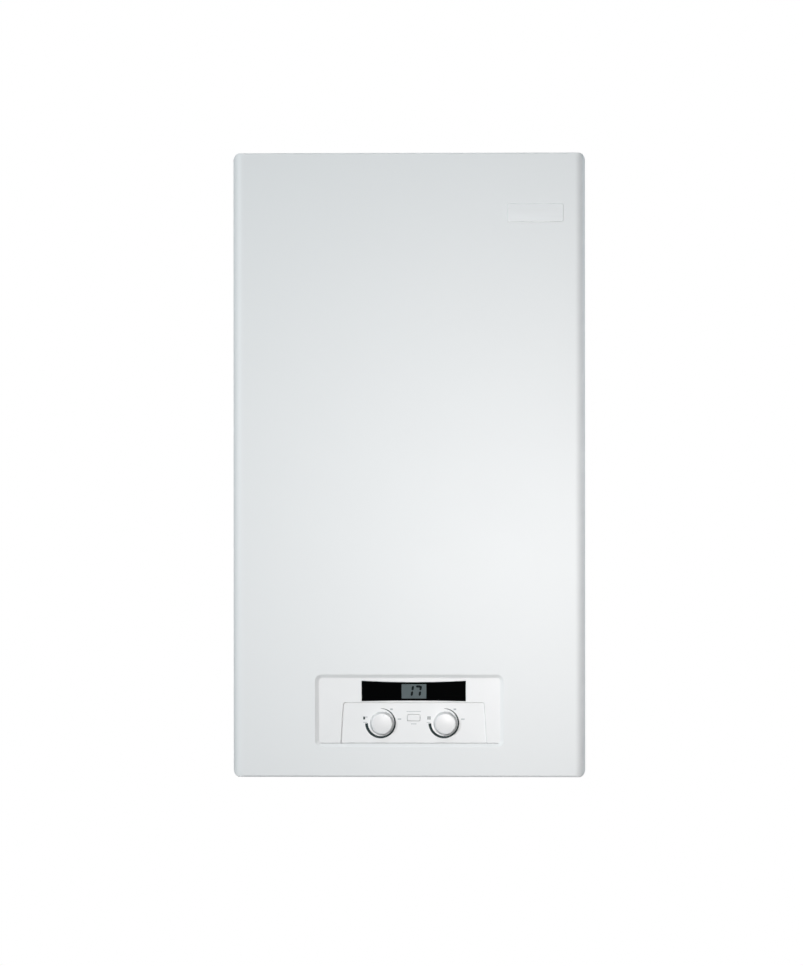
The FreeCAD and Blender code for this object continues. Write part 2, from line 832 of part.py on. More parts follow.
tab_low, tab_high = "(cover_foot_lip - skin)", "cover_foot_lip"
window_side = "(window_width / 2)"
rim_side = f"({window_side} + window_slope + window_rim / 2)"
shell = cut(pan("cover_outer", "0", "cover_back"), pan("cover_inner", "skin", "cover_back + skin"))
lip_side = f"({half} - cover_lip)"
mouth = block((f"-{lip_side}", lip_side), ("cover_back", "cover_back + skin"),
              ("cover_foot_lip", "case_height - cover_head_lip"))
pin_holes = [rod("out", "pin_radius + pin_play", (f"{side} * pin_spacing / 2", "case_height - pin_drop"),
                 ("cover_back", "cover_back + skin")) for side in (left, right)]
rim = block((f"-{rim_side}", rim_side), (f"{fascia_front} + fascia_gap", "case_depth - skin"),
            ("window_low - window_slope - window_rim / 2", "window_high + window_slope + window_rim / 2"))
window = rounded_block("cover_window", (f"-{window_side}", window_side),
                       (f"{fascia_front} - 1", "case_depth + 1"), ("window_low", "window_high"),
                       "window_round")
tabs, slots = [], []
for side in (left, right):
    middle = f"{side} * tab_x"
    tabs.append(block((f"{middle} - tab_width / 2", f"{middle} + tab_width / 2"),
                      ("cover_back - tab_reach", "cover_back + skin"), (tab_low, tab_high)))
    slots.append(block((f"{middle} - screw_radius - screw_play", f"{middle} + screw_radius + screw_play"),
                       ("cover_back - tab_reach", "screw_out + screw_radius + screw_play"),
                       (tab_low, tab_high)))
bevel = doc.addObject("Part::Wedge", "cover_bevel")
bind(bevel, Xmin="0", Xmax="window_width + 2 * window_slope", X2min="window_slope",
     X2max="window_width + window_slope", Zmin="0", Zmax="window_high - window_low + 2 * window_slope",
     Z2min="window_slope", Z2max="window_high - window_low + window_slope", Ymin="0", Ymax="window_depth")
seat(bevel, f"-{window_side} - window_slope", "case_depth", "window_low - window_slope")
keep("front_cover", cut(fuse(cut(shell, mouth, *pin_holes), rim, *tabs), window, bevel, *slots))

# seal on the folded edges, and the two screws below
body = new_body("cover_seal")
seal_side = f"({half} - skin - seal_inset)"
seal_top = "(case_height - skin - seal_inset)"
pad(body, "front", [(f"-{seal_side}", floor_top), (f"-{seal_side} + seal_width", floor_top),
                    (f"-{seal_side} + seal_width", f"{seal_top} - seal_width"),
                    (f"{seal_side} - seal_width", f"{seal_top} - seal_width"),
                    (f"{seal_side} - seal_width", floor_top), (seal_side, floor_top), (seal_side, seal_top),
                    (f"-{seal_side}", seal_top)], ("return_front", "cover_back"))
keep("cover_seal", body)

arm_low = "(cover_foot_lip + arm_clear)"
head_top = f"({tab_low} - arm_clear)"
places = [(f"{side} * tab_x", "screw_out") for side in (left, right)]
singles = []
for place in places:
    head = rod("up", "screw_head", place, (f"{head_top} - screw_head_thick", head_top))
    shank = rod("up", "screw_radius", place, (head_top, f"{arm_low} + 3 * arm_sheet"))
    singles.append(fuse(head, shank))
keep("cover_screws", group(*singles))

# badge plate, blank
keep("badge_plate", rounded_block("badge_plate", ("badge_x - badge_width / 2", "badge_x + badge_width / 2"),
                                  ("case_depth", "case_depth + badge_thick"),
                                  ("badge_up - badge_height / 2", "badge_up + badge_height / 2"),
                                  "badge_round"))

# arms that carry the control box on two pivot pins
box_side = "(box_width / 2)"
arm_inner = f"({box_side} + arm_gap)"
nose = "(pivot_out + arm_nose)"


def across(side, near, far):
    """The two x places on one side of the boiler, the lower first."""
    return sorted((f"{side} * ({near})", f"{side} * ({far})"), key=number)


arms = []
for side in (left, right):
    foot = across(side, "tab_x - tab_width / 2", arm_inner)
    web = across(side, arm_inner, f"{arm_inner} + arm_sheet")
    pin = across(side, f"{box_side} - pivot_boss_length", arm_inner)
    screw_hole = rod("up", "screw_radius", (f"{side} * tab_x", "screw_out"),
                     (arm_low, f"{arm_low} + arm_sheet"))
    landing = block(foot, ("cover_back - tab_reach", "return_back"), (arm_low, f"{arm_low} + arm_sheet"))
    arms.append(fuse(block(web, ("arm_back", nose), (arm_low, "floor_low")),
                     block(web, ("floor_front", nose), ("floor_low", "arm_high")),
                     block(foot, ("arm_back", "floor_front"), ("floor_low - arm_sheet", "floor_low")),
                     cut(landing, screw_hole), rod("x", "pivot_radius", ("pivot_out", "pivot_up"), pin)))
keep("control_box_arms", group(*arms))

# control box: a tray open at the back, with bosses for the pivots and posts for the board
tray_back = "(box_back + box_wall)"
knob_x = {"hot_water_knob": "(panel_shift - knob_spacing / 2)",
          "heating_knob": "(panel_shift + knob_spacing / 2)"}
button_x = "panel_shift"
inner_side = f"({box_side} - box_wall)"
tray = rounded_block("tray_outer", (f"-{box_side}", box_side), (tray_back, fascia_back),
                     ("box_low", "box_high"), "box_round")
tray_room = block((f"-{inner_side}", inner_side), (tray_back, f"{fascia_back} - box_wall"),
                  ("box_low + box_wall", "box_high - box_wall"))
board_front = "(board_out + board_sheet)"
bosses, bores, posts = [], [], []
for side in (left, right):
    span = across(side, f"{box_side} - pivot_boss_length", box_side)
    bosses.append(rod("x", "pivot_boss", ("pivot_out", "pivot_up"), span))
    bores.append(rod("x", "pivot_radius + pivot_play", ("pivot_out", "pivot_up"), span))
    for up in ("board_low + 2 * post_radius", "board_high - 2 * post_radius"):
        place = (f"panel_shift + {side} * (board_width / 2 - 2 * post_radius)", up)
        posts.append(rod("out", "post_radius", place, (board_front, f"{fascia_back} - box_wall")))
front_wall = (f"{fascia_back} - box_wall", fascia_back)
openings = [rod("out", "spindle_hole", (x, "knob_up"), front_wall) for x in knob_x.values()]
openings.append(block((f"{button_x} - button_width / 2 - 2 * button_flange",
                       f"{button_x} + button_width / 2 + 2 * button_flange"), front_wall,
                      ("button_up - button_height / 2 - 2 * button_flange",
                       "button_up + button_height / 2 + 2 * button_flange")))
lcd_x = ("panel_shift - lcd_width / 2", "panel_shift + lcd_width / 2")
lcd_middle = "((display_low + display_high) / 2)"
lcd_up = (f"{lcd_middle} - lcd_height / 2", f"{lcd_middle} + lcd_height / 2")
openings.append(block(lcd_x, front_wall, lcd_up))
boss_room = block((f"-{box_side}", box_side), (tray_back, fascia_back), ("box_low", "box_high"))
bosses = [common(boss, boss_room) for boss in bosses]
keep("control_box_tray", cut(fuse(cut(tray, tray_room), *bosses, *posts), *bores, *openings))

# rear cover of the control box
keep("control_box_cover", rounded_block("control_box_cover", (f"-{box_side}", box_side),
                                        ("box_back", tray_back), ("box_low", "box_high"), "box_round"))

# fascia with a stepped recess, the display's opening and the holes for the knobs and the button
fascia_side = f"({window_side} + fascia_lap)"
fascia = rounded_block("fascia_plate", (f"-{fascia_side}", fascia_side), (fascia_back, fascia_front),
                       ("window_low - fascia_lap", "window_high + fascia_lap"), "window_round")
recess = new_body("fascia_recess")
recess_floor = f"({fascia_front} - recess_depth)"
pad(recess, "front", [("panel_shift - recess_foot_width / 2", "window_low"),
                      ("panel_shift + recess_foot_width / 2", "window_low"),
                      ("panel_shift + recess_top_width / 2", "recess_high"),
                      ("panel_shift - recess_top_width / 2", "recess_high")],
    (recess_floor, f"{fascia_front} + 1"))
display_x = ("panel_shift - display_width / 2", "panel_shift + display_width / 2")
glass_back = f"({fascia_front} - display_sunk - display_glass)"
display_hole = rounded_block("display_hole", display_x, (fascia_back, f"{fascia_front} + 1"),
                             ("display_low", "display_high"), "display_round")
button_hole = rounded_block("button_hole", (f"{button_x} - button_width / 2 - button_play",
                                            f"{button_x} + button_width / 2 + button_play"),
                            (fascia_back, fascia_front),
                            ("button_up - button_height / 2 - button_play",
                             "button_up + button_height / 2 + button_play"), "button_round")
spindle_holes = [rod("out", "spindle_hole", (x, "knob_up"), (fascia_back, fascia_front))
                 for x in knob_x.values()]
keep("control_fascia", cut(fascia, recess, display_hole, button_hole, *spindle_holes))

# display: a dark window, and the module behind it on the board
keep("display_window", rounded_block("display_window", display_x,
                                     (glass_back, f"{fascia_front} - display_sunk"),
                                     ("display_low", "display_high"), "display_round"))
keep("display_module", block(lcd_x, (board_front, glass_back), lcd_up))
board_x = ("panel_shift - board_width / 2", "panel_shift + board_width / 2")
board = block(board_x, ("board_out", board_front), ("board_low", "board_high"))

# rotary controls and the knobs whose moulded shafts plug into them
pot_front = f"({board_front} + pot_depth)"
pots = []
for x in knob_x.values():
    case = block((f"{x} - pot_size / 2", f"{x} + pot_size / 2"), (board_front, pot_front),
                 ("knob_up - pot_size / 2", "knob_up + pot_size / 2"))
    pots.append(cut(case, rod("out", "spindle_radius + pivot_play", (x, "knob_up"),
                              (f"{board_front} + pot_floor", pot_front))))
keep("rotary_controls", group(*pots))
knob_back = f"({recess_floor} + knob_lift)"
knob_front = f"({knob_back} + knob_proud)"
pointer_turn = {"hot_water_knob": "hot_water_turn", "heating_knob": "heating_turn"}
for label, x in knob_x.items():
    knob = turned(f"{label}_form", "out", [
        (f"{board_front} + pot_floor + knob_lift", "0"),
        (f"{board_front} + pot_floor + knob_lift", "spindle_radius"),
        (knob_back, "spindle_radius"), (knob_back, "knob_radius"),
        (f"{knob_front} - knob_edge", "knob_face_radius"),
        (knob_front, "knob_face_radius - knob_edge"), (knob_front, "0")], (x, "knob_up"))
    groove = block(("-knob_notch / 2", "knob_notch / 2"), (f"{knob_front} - knob_notch / 2", knob_front),
                   ("bolt_line + knob_face_radius / 2", "bolt_line + knob_radius"))
    pointer = group(groove)
    pointer.Placement.Rotation = FreeCAD.Rotation(FreeCAD.Vector(0, 1, 0), number(pointer_turn[label]))
    bind(pointer, **{"Placement.Rotation.Angle": pointer_turn[label]})
    seat(pointer, x, "0", "knob_up")
    keep(label, cut(knob, pointer))

# reset button, held behind the fascia by its flange, and the switch that it presses
flange_front = f"({fascia_back} - fascia_gap)"
flange_back = f"({flange_front} - button_flange_thick)"
switch_front = f"({board_front} + switch_depth)"
button_cap = rounded_block("button_cap", (f"{button_x} - button_width / 2", f"{button_x} + button_width / 2"),
                           (flange_front, f"{recess_floor} + button_proud"),
                           ("button_up - button_height / 2", "button_up + button_height / 2"), "button_round")
flange = block((f"{button_x} - button_width / 2 - button_flange",
                f"{button_x} + button_width / 2 + button_flange"),
               (flange_back, flange_front), ("button_up - button_height / 2 - button_flange",
                                             "button_up + button_height / 2 + button_flange"))
stem = rod("out", "button_stem", (button_x, "button_up"),
           (f"{switch_front} + button_travel + fascia_gap", flange_back))
keep("reset_button", fuse(button_cap, flange, stem))
switch = block((f"{button_x} - switch_size / 2", f"{button_x} + switch_size / 2"),
               (board_front, switch_front),
               ("button_up - switch_size / 2", "button_up + switch_size / 2"))
keep("circuit_board", fuse(board, switch))

# heat exchanger: a drum with a front flange, two water spigots and a drain
inner_back = "(exchanger_back + exchanger_wall)"
drum_bore = "(exchanger_radius - exchanger_wall)"
drum = turned("exchanger_drum", "out", [("exchanger_back", "0"), ("exchanger_back", "exchanger_radius"),
                                        ("exchanger_front - flange_thick", "exchanger_radius"),
                                        ("exchanger_front - flange_thick", "flange_radius"),
                                        ("exchanger_front", "flange_radius"), ("exchanger_front", drum_bore),
                                        (inner_back, drum_bore), (inner_back, "0")], exchanger_axis)
flow_spigot = rod("x", "spigot_radius", ("port_out_high", "flow_port_up"), ("-spigot_reach", f"-{drum_bore}"))
return_spigot = rod("x", "spigot_radius", ("port_out_high", "return_port_up"), (drum_bore, "spigot_reach"))
drain_spigot = rod("up", "hose_radius + hose_wall", ("drain_x", "flue_out"),
                   ("drain_up", f"exchanger_up - {drum_bore}"))
drum_room = rod("out", drum_bore, exchanger_axis, (inner_back, "exchanger_front"))
keep("heat_exchanger_housing", fuse(drum, cut(fuse(flow_spigot, return_spigot, drain_spigot), drum_room)))

# its coil: flat windings on a thin inner sleeve
profile = [("coil_start", "coil_inner"), ("coil_start + coil_turns * coil_step", "coil_inner")]
for turn in reversed(range(int(number("coil_turns")))):
    end = f"(coil_start + {turn + 1} * coil_step)"
    profile += [(end, "coil_inner + 2"), (f"{end} - 2", "coil_inner + 2"), (f"{end} - 2", "coil_outer"),
                (f"{end} - coil_step + 1", "coil_outer"), (f"{end} - coil_step + 1", "coil_inner + 2")]
keep("heat_exchanger_coil", turned("heat_exchanger_coil", "out", profile, exchanger_axis))

# burner door with its inlet elbow
door_front = "(exchanger_front + door_thick)"
electrode_places = [(f"{side} * electrode_ring", "exchanger_up - electrode_ring") for side in (left, right)]
door = turned("door_plate", "out", [("exchanger_front", "burner_radius"),
                                    ("exchanger_front", "flange_radius"),
                                    (door_front, "flange_radius"), (door_front, "burner_radius")],
                                    exchanger_axis)
electrode_holes = [rod("out", "electrode_radius", place, ("exchanger_front", door_front))
                   for place in electrode_places]
flange_end = f"({door_front} + burner_flange_thick)"
elbow = bent_tube("inlet_elbow", [("0", "fan_outlet_out", "fan_outlet_up"),
                                  ("0", "fan_outlet_out", "exchanger_up"),
                             ("0", flange_end, "exchanger_up")], "duct_bend", "duct_radius",
                             "duct_radius - duct_wall")
elbow_flange = tube("elbow_flange", "out", "burner_flange + burner_flange_thick", "burner_flange",
                    exchanger_axis, (door_front, flange_end))
elbow_ring = tube("elbow_ring", "out", "burner_flange + burner_flange_thick", "duct_radius - duct_wall",
                  exchanger_axis, (flange_end, f"{flange_end} + 2 * burner_flange_thick"))
keep("burner_door", fuse(cut(door, *electrode_holes), elbow, elbow_flange, elbow_ring))

# insulation inside the door, and the burner tube that hangs in it
insulation_back = "(exchanger_front - insulation_thick)"
ring = turned("insulation_ring", "out", [(insulation_back, "burner_radius"),
                                         ("exchanger_front", "burner_radius"),
                                         ("exchanger_front", "insulation_radius"),
                                         (insulation_back, "insulation_radius")], exchanger_axis)
pin_holes = [rod("out", "electrode_radius", place, (insulation_back, "exchanger_front"))
             for place in electrode_places]
keep("door_insulation", cut(ring, *pin_holes))
burner_end = "(exchanger_front - burner_length)"
skin_radius = "(burner_radius - burner_wall)"
keep("burner_tube", turned("burner_tube", "out", [
    (burner_end, "0"), (burner_end, "burner_radius"), (door_front, "burner_radius"),
    (door_front, "burner_flange"),
    (flange_end, "burner_flange"), (flange_end, skin_radius), (f"{burner_end} + burner_wall", skin_radius),
    (f"{burner_end} + burner_wall", "0")], exchanger_axis))

# ignition and ionisation electrodes: ceramic sleeves with a wire through them
electrodes = []
for place in electrode_places:
    ceramic = rod("out", "electrode_radius", place, (insulation_back, f"{door_front} + electrode_length / 4"))
    wire = rod("out", "electrode_pin", place, (f"{insulation_back} - electrode_length / 2",
                                               f"{door_front} + electrode_length / 3"))
    electrodes.append(fuse(ceramic, wire))
keep("electrodes", group(*electrodes))

# ignition transformer on the left side panel, and its lead
panel_face = f"({half} - skin)"
lead_up = "(exchanger_up - electrode_ring)"
transformer_front = "(transformer_out + transformer_depth)"
keep("ignition_transformer", rounded_block("ignition_transformer",
                                           (f"-{panel_face}", f"transformer_width - {panel_face}"),
                                           ("transformer_out", transformer_front),
                                           (f"{lead_up} - transformer_height / 2",
                                            f"{lead_up} + transformer_height / 2"),
                                           "box_round", "Y"))
lead_x = f"(transformer_width - {panel_face} + lead_slack)"
lead_middle = "(transformer_out + transformer_depth / 2)"
pipe("ignition_lead", [("-electrode_ring", f"{door_front} + electrode_length / 3", lead_up),
                       ("-electrode_ring", "lead_out", lead_up), (lead_x, "lead_out", lead_up),
                       (lead_x, lead_middle, lead_up),
                       (f"transformer_width - {panel_face}", lead_middle, lead_up)],
     "gas_bend", "lead_radius")

# fan housing: a drum whose outlet box meets the inlet elbow
fan_axis = ("fan_out", "fan_up")
duct_half = "(duct_radius + duct_wall)"
outlet_out = (f"fan_outlet_out - {duct_half}", f"fan_outlet_out + {duct_half}")
inner_out = (f"fan_outlet_out - {duct_half} + fan_wall", f"fan_outlet_out + {duct_half} - fan_wall")
fan_inner = "(fan_half - fan_wall)"
volute = fuse(rod("x", "fan_radius", fan_axis, ("-fan_half", "fan_half")),
              block(("-fan_half", "fan_half"), outlet_out, ("fan_outlet_up", "fan_up")))
fan_room = [rod("x", "fan_radius - fan_wall", fan_axis, (f"-{fan_inner}", fan_inner)),
            block((f"-{fan_inner}", fan_inner), inner_out, ("fan_outlet_up + fan_wall", "fan_up")),
            rod("up", "duct_radius - duct_wall", ("0", "fan_outlet_out"), ("fan_outlet_up", "fan_up")),
            rod("x", "fan_inlet", fan_axis, ("-fan_half", f"-{fan_inner}")),
            rod("x", "shaft_radius + 4 * shaft_play", fan_axis, (fan_inner, "fan_half"))]
keep("fan_housing", cut(volute, *fan_room))

# fan wheel: hub, back plate, front ring, blades and the shaft into the motor
wheel = turned("fan_wheel", "x", [
    ("-fan_wheel_half", "0"), ("-fan_wheel_half", "fan_hub_radius / 2"),
    ("fan_wheel_half - 2", "fan_hub_radius"),
    ("fan_wheel_half - 2", "fan_wheel_radius"), ("fan_wheel_half", "fan_wheel_radius"),
    ("fan_wheel_half", "shaft_radius"), ("fan_half + motor_length / 2", "shaft_radius"),
    ("fan_half + motor_length / 2", "0")], fan_axis)
blade = pad(wheel, "side", rectangle(("-fan_blade_thick / 2", "fan_blade_thick / 2"),
                                     ("fan_blade_inner", "fan_wheel_radius - 0.5")),
            ("-fan_wheel_half", "fan_wheel_half"))
around(wheel, blade, "X_Axis", "fan_blades")
keep("fan_wheel", wheel)

# fan motor
motor_end = "(fan_half + motor_length)"
motor = turned("fan_motor", "x", [
    ("fan_half", "shaft_radius + shaft_play"), ("fan_half", "motor_radius"),
    (f"{motor_end} - 6", "motor_radius"), (motor_end, "motor_radius - 6"), (motor_end, "0"),
    ("fan_half + motor_length / 2 + 1", "0"),
    ("fan_half + motor_length / 2 + 1", "shaft_radius + shaft_play")], fan_axis)
keep("fan_motor", motor)

# mixer: a throat for the air with a gas port below
mixer_end = "(fan_half + mixer_length)"
mixer_middle = "(fan_half + mixer_length / 2)"
throat = turned("mixer_throat_body", "x", [
    (f"-{mixer_end}", "fan_inlet"), (f"-{mixer_end}", "mixer_radius"), ("-fan_half", "mixer_radius"),
    ("-fan_half", "fan_inlet"), (f"-{mixer_middle}", "mixer_throat")], fan_axis)
gas_port = rod("up", "gas_pipe_radius + 2 * pipe_wall", (f"-{mixer_middle}", "fan_out"),
               ("fan_up - mixer_radius - 8", "fan_up - mixer_radius + 4"))
gas_port_bore = rod("up", "gas_pipe_radius - pipe_wall", (f"-{mixer_middle}", "fan_out"),
                    ("fan_up - mixer_radius - 8", "fan_up - mixer_throat"))
keep("gas_air_mixer", cut(fuse(throat, gas_port), gas_port_bore))

# air silencer, open to the casing through a slot in its top
silencer_x = ("-silencer_left", f"-{mixer_end}")
case = rounded_block("silencer_case", silencer_x, ("silencer_back", "silencer_front"),
                     ("silencer_low", "silencer_high"), "corner_round")
room = block(("-silencer_left + silencer_wall", f"-{mixer_end} - silencer_wall"),
             ("silencer_back + silencer_wall", "silencer_front - silencer_wall"),
             ("silencer_low + corner_round", "silencer_high - corner_round"))
mouth = rod("x", "fan_inlet", fan_axis, (f"-{mixer_end} - silencer_wall", f"-{mixer_end}"))
slot = block(("-silencer_left + 4 * corner_round", "-silencer_left + 4 * corner_round + silencer_slot"),
             ("silencer_back + corner_round", "silencer_back + 3 * corner_round"),
             ("silencer_high - corner_round", "silencer_high"))
keep("air_silencer", cut(case, room, mouth, slot))

# gas valve with two coils on top
valve_out = "(gas_valve_back + gas_valve_depth / 2)"
valve_side = ("gas_valve_x - gas_valve_width / 2", "gas_valve_x + gas_valve_width / 2")
valve = rounded_block("valve_block", valve_side, ("gas_valve_back", "gas_valve_back + gas_valve_depth"),
                      ("gas_valve_low", "gas_valve_high"), "box_round")
coil_places = [(f"gas_valve_x + {side} * (gas_coil_radius + 2)", valve_out) for side in (left, right)]
coils = [rod("up", "gas_coil_radius", place, ("gas_valve_high", "gas_valve_high + gas_coil_height"))
         for place in coil_places]
keep("gas_valve", fuse(valve, *coils))
gas_bore = "gas_pipe_radius - pipe_wall"
pipe("gas_inlet_pipe", [("0", "port_out", "block_low"), ("0", "port_out", "gas_bend_up"),
                        ("gas_valve_x", valve_out, "gas_bend_up"),
                        ("gas_valve_x", valve_out, "gas_valve_low")],
     "gas_bend", "gas_pipe_radius", gas_bore)
pipe("gas_mixer_pipe", [(valve_side[0], valve_out, "gas_run_up"), ("gas_riser_x", valve_out, "gas_run_up"),
                        ("gas_riser_x", "gas_riser_out", "gas_run_up"),
                        ("gas_riser_x", "gas_riser_out", "gas_cross_up"),
                        (f"-{mixer_middle}", "fan_out", "gas_cross_up"),
                        (f"-{mixer_middle}", "fan_out", "fan_up - mixer_radius - 8")],
     "gas_bend", "gas_pipe_radius", gas_bore)

# flue: an inner pipe from the drum to the collar, and the collar under the top panel
collar_low = "(case_height - collar_length)"
flue_low, flue_top = "(exchanger_up + exchanger_radius * 0.9)", "(case_height - flue_sunk)"
socket_low = f"({flue_top} - flue_socket_length)"
socket = "(flue_radius + flue_play)"
flue = turned("flue_tube", "up", [
    (flue_low, "flue_radius - flue_wall"), (flue_low, "flue_radius"),
    (f"{socket_low} - flue_wall", "flue_radius"),
    (f"{socket_low} - flue_wall", f"{socket} + flue_wall"), (flue_top, f"{socket} + flue_wall"),
    (flue_top, socket),
    (socket_low, socket), (socket_low, "flue_radius - flue_wall")], ("0", "flue_out"))
keep("flue_pipe", cut(flue, rod("out", "exchanger_radius", exchanger_axis,
                                ("exchanger_back", "exchanger_front"))))
collar = turned("flue_collar", "up", [
    (collar_low, "collar_radius - collar_wall"), (collar_low, "collar_radius"),
    ("case_height - skin - collar_flange_thick", "collar_radius"),
    ("case_height - skin - collar_flange_thick", "collar_flange"), ("case_height - skin", "collar_flange"),
    ("case_height - skin", "collar_radius"), ("case_height", "collar_radius"),
    ("case_height", "collar_radius - collar_wall")], ("0", "flue_out"))
web = pad(collar, "side", rectangle((f"{socket} + flue_wall", "collar_radius - collar_wall"),
                                    (collar_low, f"{collar_low} + collar_web_height")),
          ("-collar_web / 2", "collar_web / 2"))
around(collar, web, "Z_Axis", "collar_webs")
keep("flue_collar", collar)

# condensate trap and hose
trap_axis = ("trap_x", "trap_out")
keep("condensate_trap", turned("condensate_trap", "up", [
    ("trap_outlet_low", "trap_outlet - hose_wall"), ("trap_outlet_low", "trap_outlet"),
    ("trap_low", "trap_outlet"),
    ("trap_low", "trap_radius"), ("trap_high", "trap_radius"), ("trap_high", "trap_neck"),
    ("trap_neck_high", "trap_neck"), ("trap_neck_high", "trap_neck - hose_wall"),
    ("trap_high - 2 * hose_wall", "trap_neck - hose_wall"),
    ("trap_high - 2 * hose_wall", "trap_radius - hose_wall"),
    ("trap_low + 2 * hose_wall", "trap_radius - hose_wall"),
    ("trap_low + 2 * hose_wall", "trap_outlet - hose_wall")],
    trap_axis))
pipe("condensate_hose", [("drain_x", "flue_out", "drain_up"), ("drain_x", "flue_out", "hose_run_up"),
                         ("trap_x", "flue_out", "hose_run_up"), ("trap_x", "trap_out", "hose_run_up"),
                         ("trap_x", "trap_out", "trap_neck_high")],
     "hose_bend", "hose_radius", "hose_radius - hose_wall")

# expansion vessel: a flat box with wide corners and softened rims, and its pipe
vessel_out = ("vessel_back", "vessel_back + vessel_depth")
vessel_side = "(vessel_width / 2)"
vessel_middle = "(vessel_back + vessel_depth / 2)"
tank = rounded_block("vessel_tank", (f"-{vessel_side}", vessel_side), vessel_out,
                     ("vessel_low", "vessel_high"),
                     "vessel_round")
round_edges(tank, "vessel_edge", lambda box: box.YLength < 0.01)
shrink = "2 * pipe_wall"
room = rounded_block("vessel_room", (f"-{vessel_side} + {shrink}", f"{vessel_side} - {shrink}"),
                     (f"vessel_back + {shrink}", f"vessel_back + vessel_depth - {shrink}"),
                     (f"vessel_low + {shrink}", f"vessel_high - {shrink}"), f"vessel_round - {shrink}")
round_edges(room, f"vessel_edge - {shrink}", lambda box: box.YLength < 0.01)
vessel_port = ("vessel_port_x", vessel_middle)
port_low = "(vessel_low - vessel_port_drop)"
port = rod("up", "vessel_port_radius", vessel_port, (port_low, "vessel_low + vessel_edge"))
port_bore = rod("up", "vessel_pipe_radius - pipe_wall", vessel_port, (port_low, "vessel_low + vessel_edge"))
keep("expansion_vessel", cut(fuse(tank, port), room, port_bore))
block_back = "(port_out - block_half)"
block_front = "(port_out + block_half)"
vessel_low_up = "(return_block_high - block_foot)"
pipe("vessel_pipe", [(*vessel_port, port_low), (*vessel_port, vessel_low_up),
                     ("vessel_port_x", block_back, vessel_low_up)], "gas_bend", "vessel_pipe_radius",
     "vessel_pipe_radius - pipe_wall")

# hydraulic blocks: an upright part at the outer port and a foot that reaches over the inner one
column_x = "(2 * port_spacing)"
foot_high = "(block_low + block_foot)"
blocks = {}
for label, side, high in (("flow_block", left, "flow_block_high"),
                          ("return_block", right, "return_block_high")):
    column = sorted((f"{side} * ({column_x} - block_half)", f"{side} * ({column_x} + block_half)"),
                    key=number)
    foot = sorted((f"{side} * (port_spacing - block_reach)", f"{side} * {column_x}"), key=number)
    body = new_body(label)
    pad(body, "plan", rectangle(column, (block_back, block_front)), ("block_low", high))
    pad(body, "plan", rectangle(foot, (block_back, block_front)), ("block_low", foot_high))
    blocks[label] = body

# flow block: the valve's bore, open to the front; its stem, and the actuator that closes the bore
valve_x = f"-{column_x}"
valve_end = f"({block_back} + poppet_thick + stem_travel / 2)"
pocket(blocks["flow_block"], "front", [], (valve_end, block_front),
       [((valve_x, "actuator_up"), "valve_bore")])
keep("flow_block", blocks["flow_block"])
actuator_front = f"({block_front} + actuator_depth)"
actuator = rounded_block("actuator_case", (f"{valve_x} - actuator_width / 2",
                                           f"{valve_x} + actuator_width / 2"),
                         (block_front, actuator_front),
                         ("actuator_up - actuator_height / 2", "actuator_up + actuator_height / 2"),
                         "box_round")
pocket(actuator, "front", [], (block_front, f"{actuator_front} - 3 * box_wall"),
       [((valve_x, "actuator_up"), "stem_radius + stem_play")])
keep("diverter_actuator", actuator)
poppet_back = f"({valve_end} + 1)"
keep("diverter_stem", turned("diverter_stem", "out", [
    (poppet_back, "0"), (poppet_back, "poppet_radius"), (f"{poppet_back} + poppet_thick", "poppet_radius"),
    (f"{poppet_back} + poppet_thick", "stem_radius"),
    (f"{actuator_front} - 3 * box_wall - stem_travel - 1", "stem_radius"),
    (f"{actuator_front} - 3 * box_wall - stem_travel - 1", "0")], (valve_x, "actuator_up")))

keep("return_block", blocks["return_block"])

# plate heat exchanger across the two feet: stamped plates with a groove between each pair
plate_step = f"(({block_back} - plate_exchanger_back) / plate_count)"
plate_side = "(plate_exchanger_width / 2)"
profile = []
plates = range(int(number("plate_count")))
for edge, order in ((f"-{plate_side}", plates), (plate_side, plates[::-1])):
    inner = f"{edge} + plate_rib" if edge.startswith("-") else f"{edge} - plate_rib"
    for plate in order:
        near = f"plate_exchanger_back + {plate} * {plate_step}"
        far = f"plate_exchanger_back + {plate + 1} * {plate_step}"
        groove = f"{far} - plate_rib"
        run = [(edge, near), (edge, groove), (inner, groove), (inner, far)]
        profile += run if edge.startswith("-") else run[::-1]
body = new_body("plate_heat_exchanger")
pad(body, "plan", profile, ("plate_exchanger_low", "plate_exchanger_high"))
keep("plate_heat_exchanger", body)

# pump: housing with a neck down to the return block and an outlet above, wheel, and motor
pump_axis = (column_x, "pump_up")
pump_room = "(pump_radius - pump_wall)"
neck = rod("up", "pump_neck", (column_x, "port_out"), ("return_block_high", "pump_up"))
outlet = rod("up", "pump_neck", (column_x, "port_out"), ("pump_up", "pump_outlet_up"))
volute = rod("out", "pump_radius", pump_axis, ("pump_back", "pump_front"))
pump_hollow = rod("out", pump_room, pump_axis, ("pump_back + pump_wall", "pump_front"))
pump_bores = rod("up", "pipe_radius - pipe_wall", (column_x, "port_out"),
                 ("return_block_high", "pump_outlet_up"))
keep("pump_housing", cut(fuse(volute, neck, outlet), pump_hollow, pump_bores))
wheel_back = "(pump_back + pump_wall + 2)"
wheel = turned("pump_wheel", "out", [
    (f"{wheel_back}", "pump_hub_radius"), (wheel_back, "pump_wheel_radius"),
    (f"{wheel_back} + 2", "pump_wheel_radius"),
    (f"{wheel_back} + 2", "pump_hub_radius + 2"), ("pump_front - 8", "pump_hub_radius + 2"),
    ("pump_front - 8", "pump_wheel_radius"), ("pump_front - 6", "pump_wheel_radius"),
    ("pump_front - 6", "shaft_radius"), ("pump_front + pump_motor_length / 2", "shaft_radius"),
    ("pump_front + pump_motor_length / 2", "0"), (f"{wheel_back} + 6", "0"),
    (f"{wheel_back} + 6", "pump_hub_radius")], pump_axis)
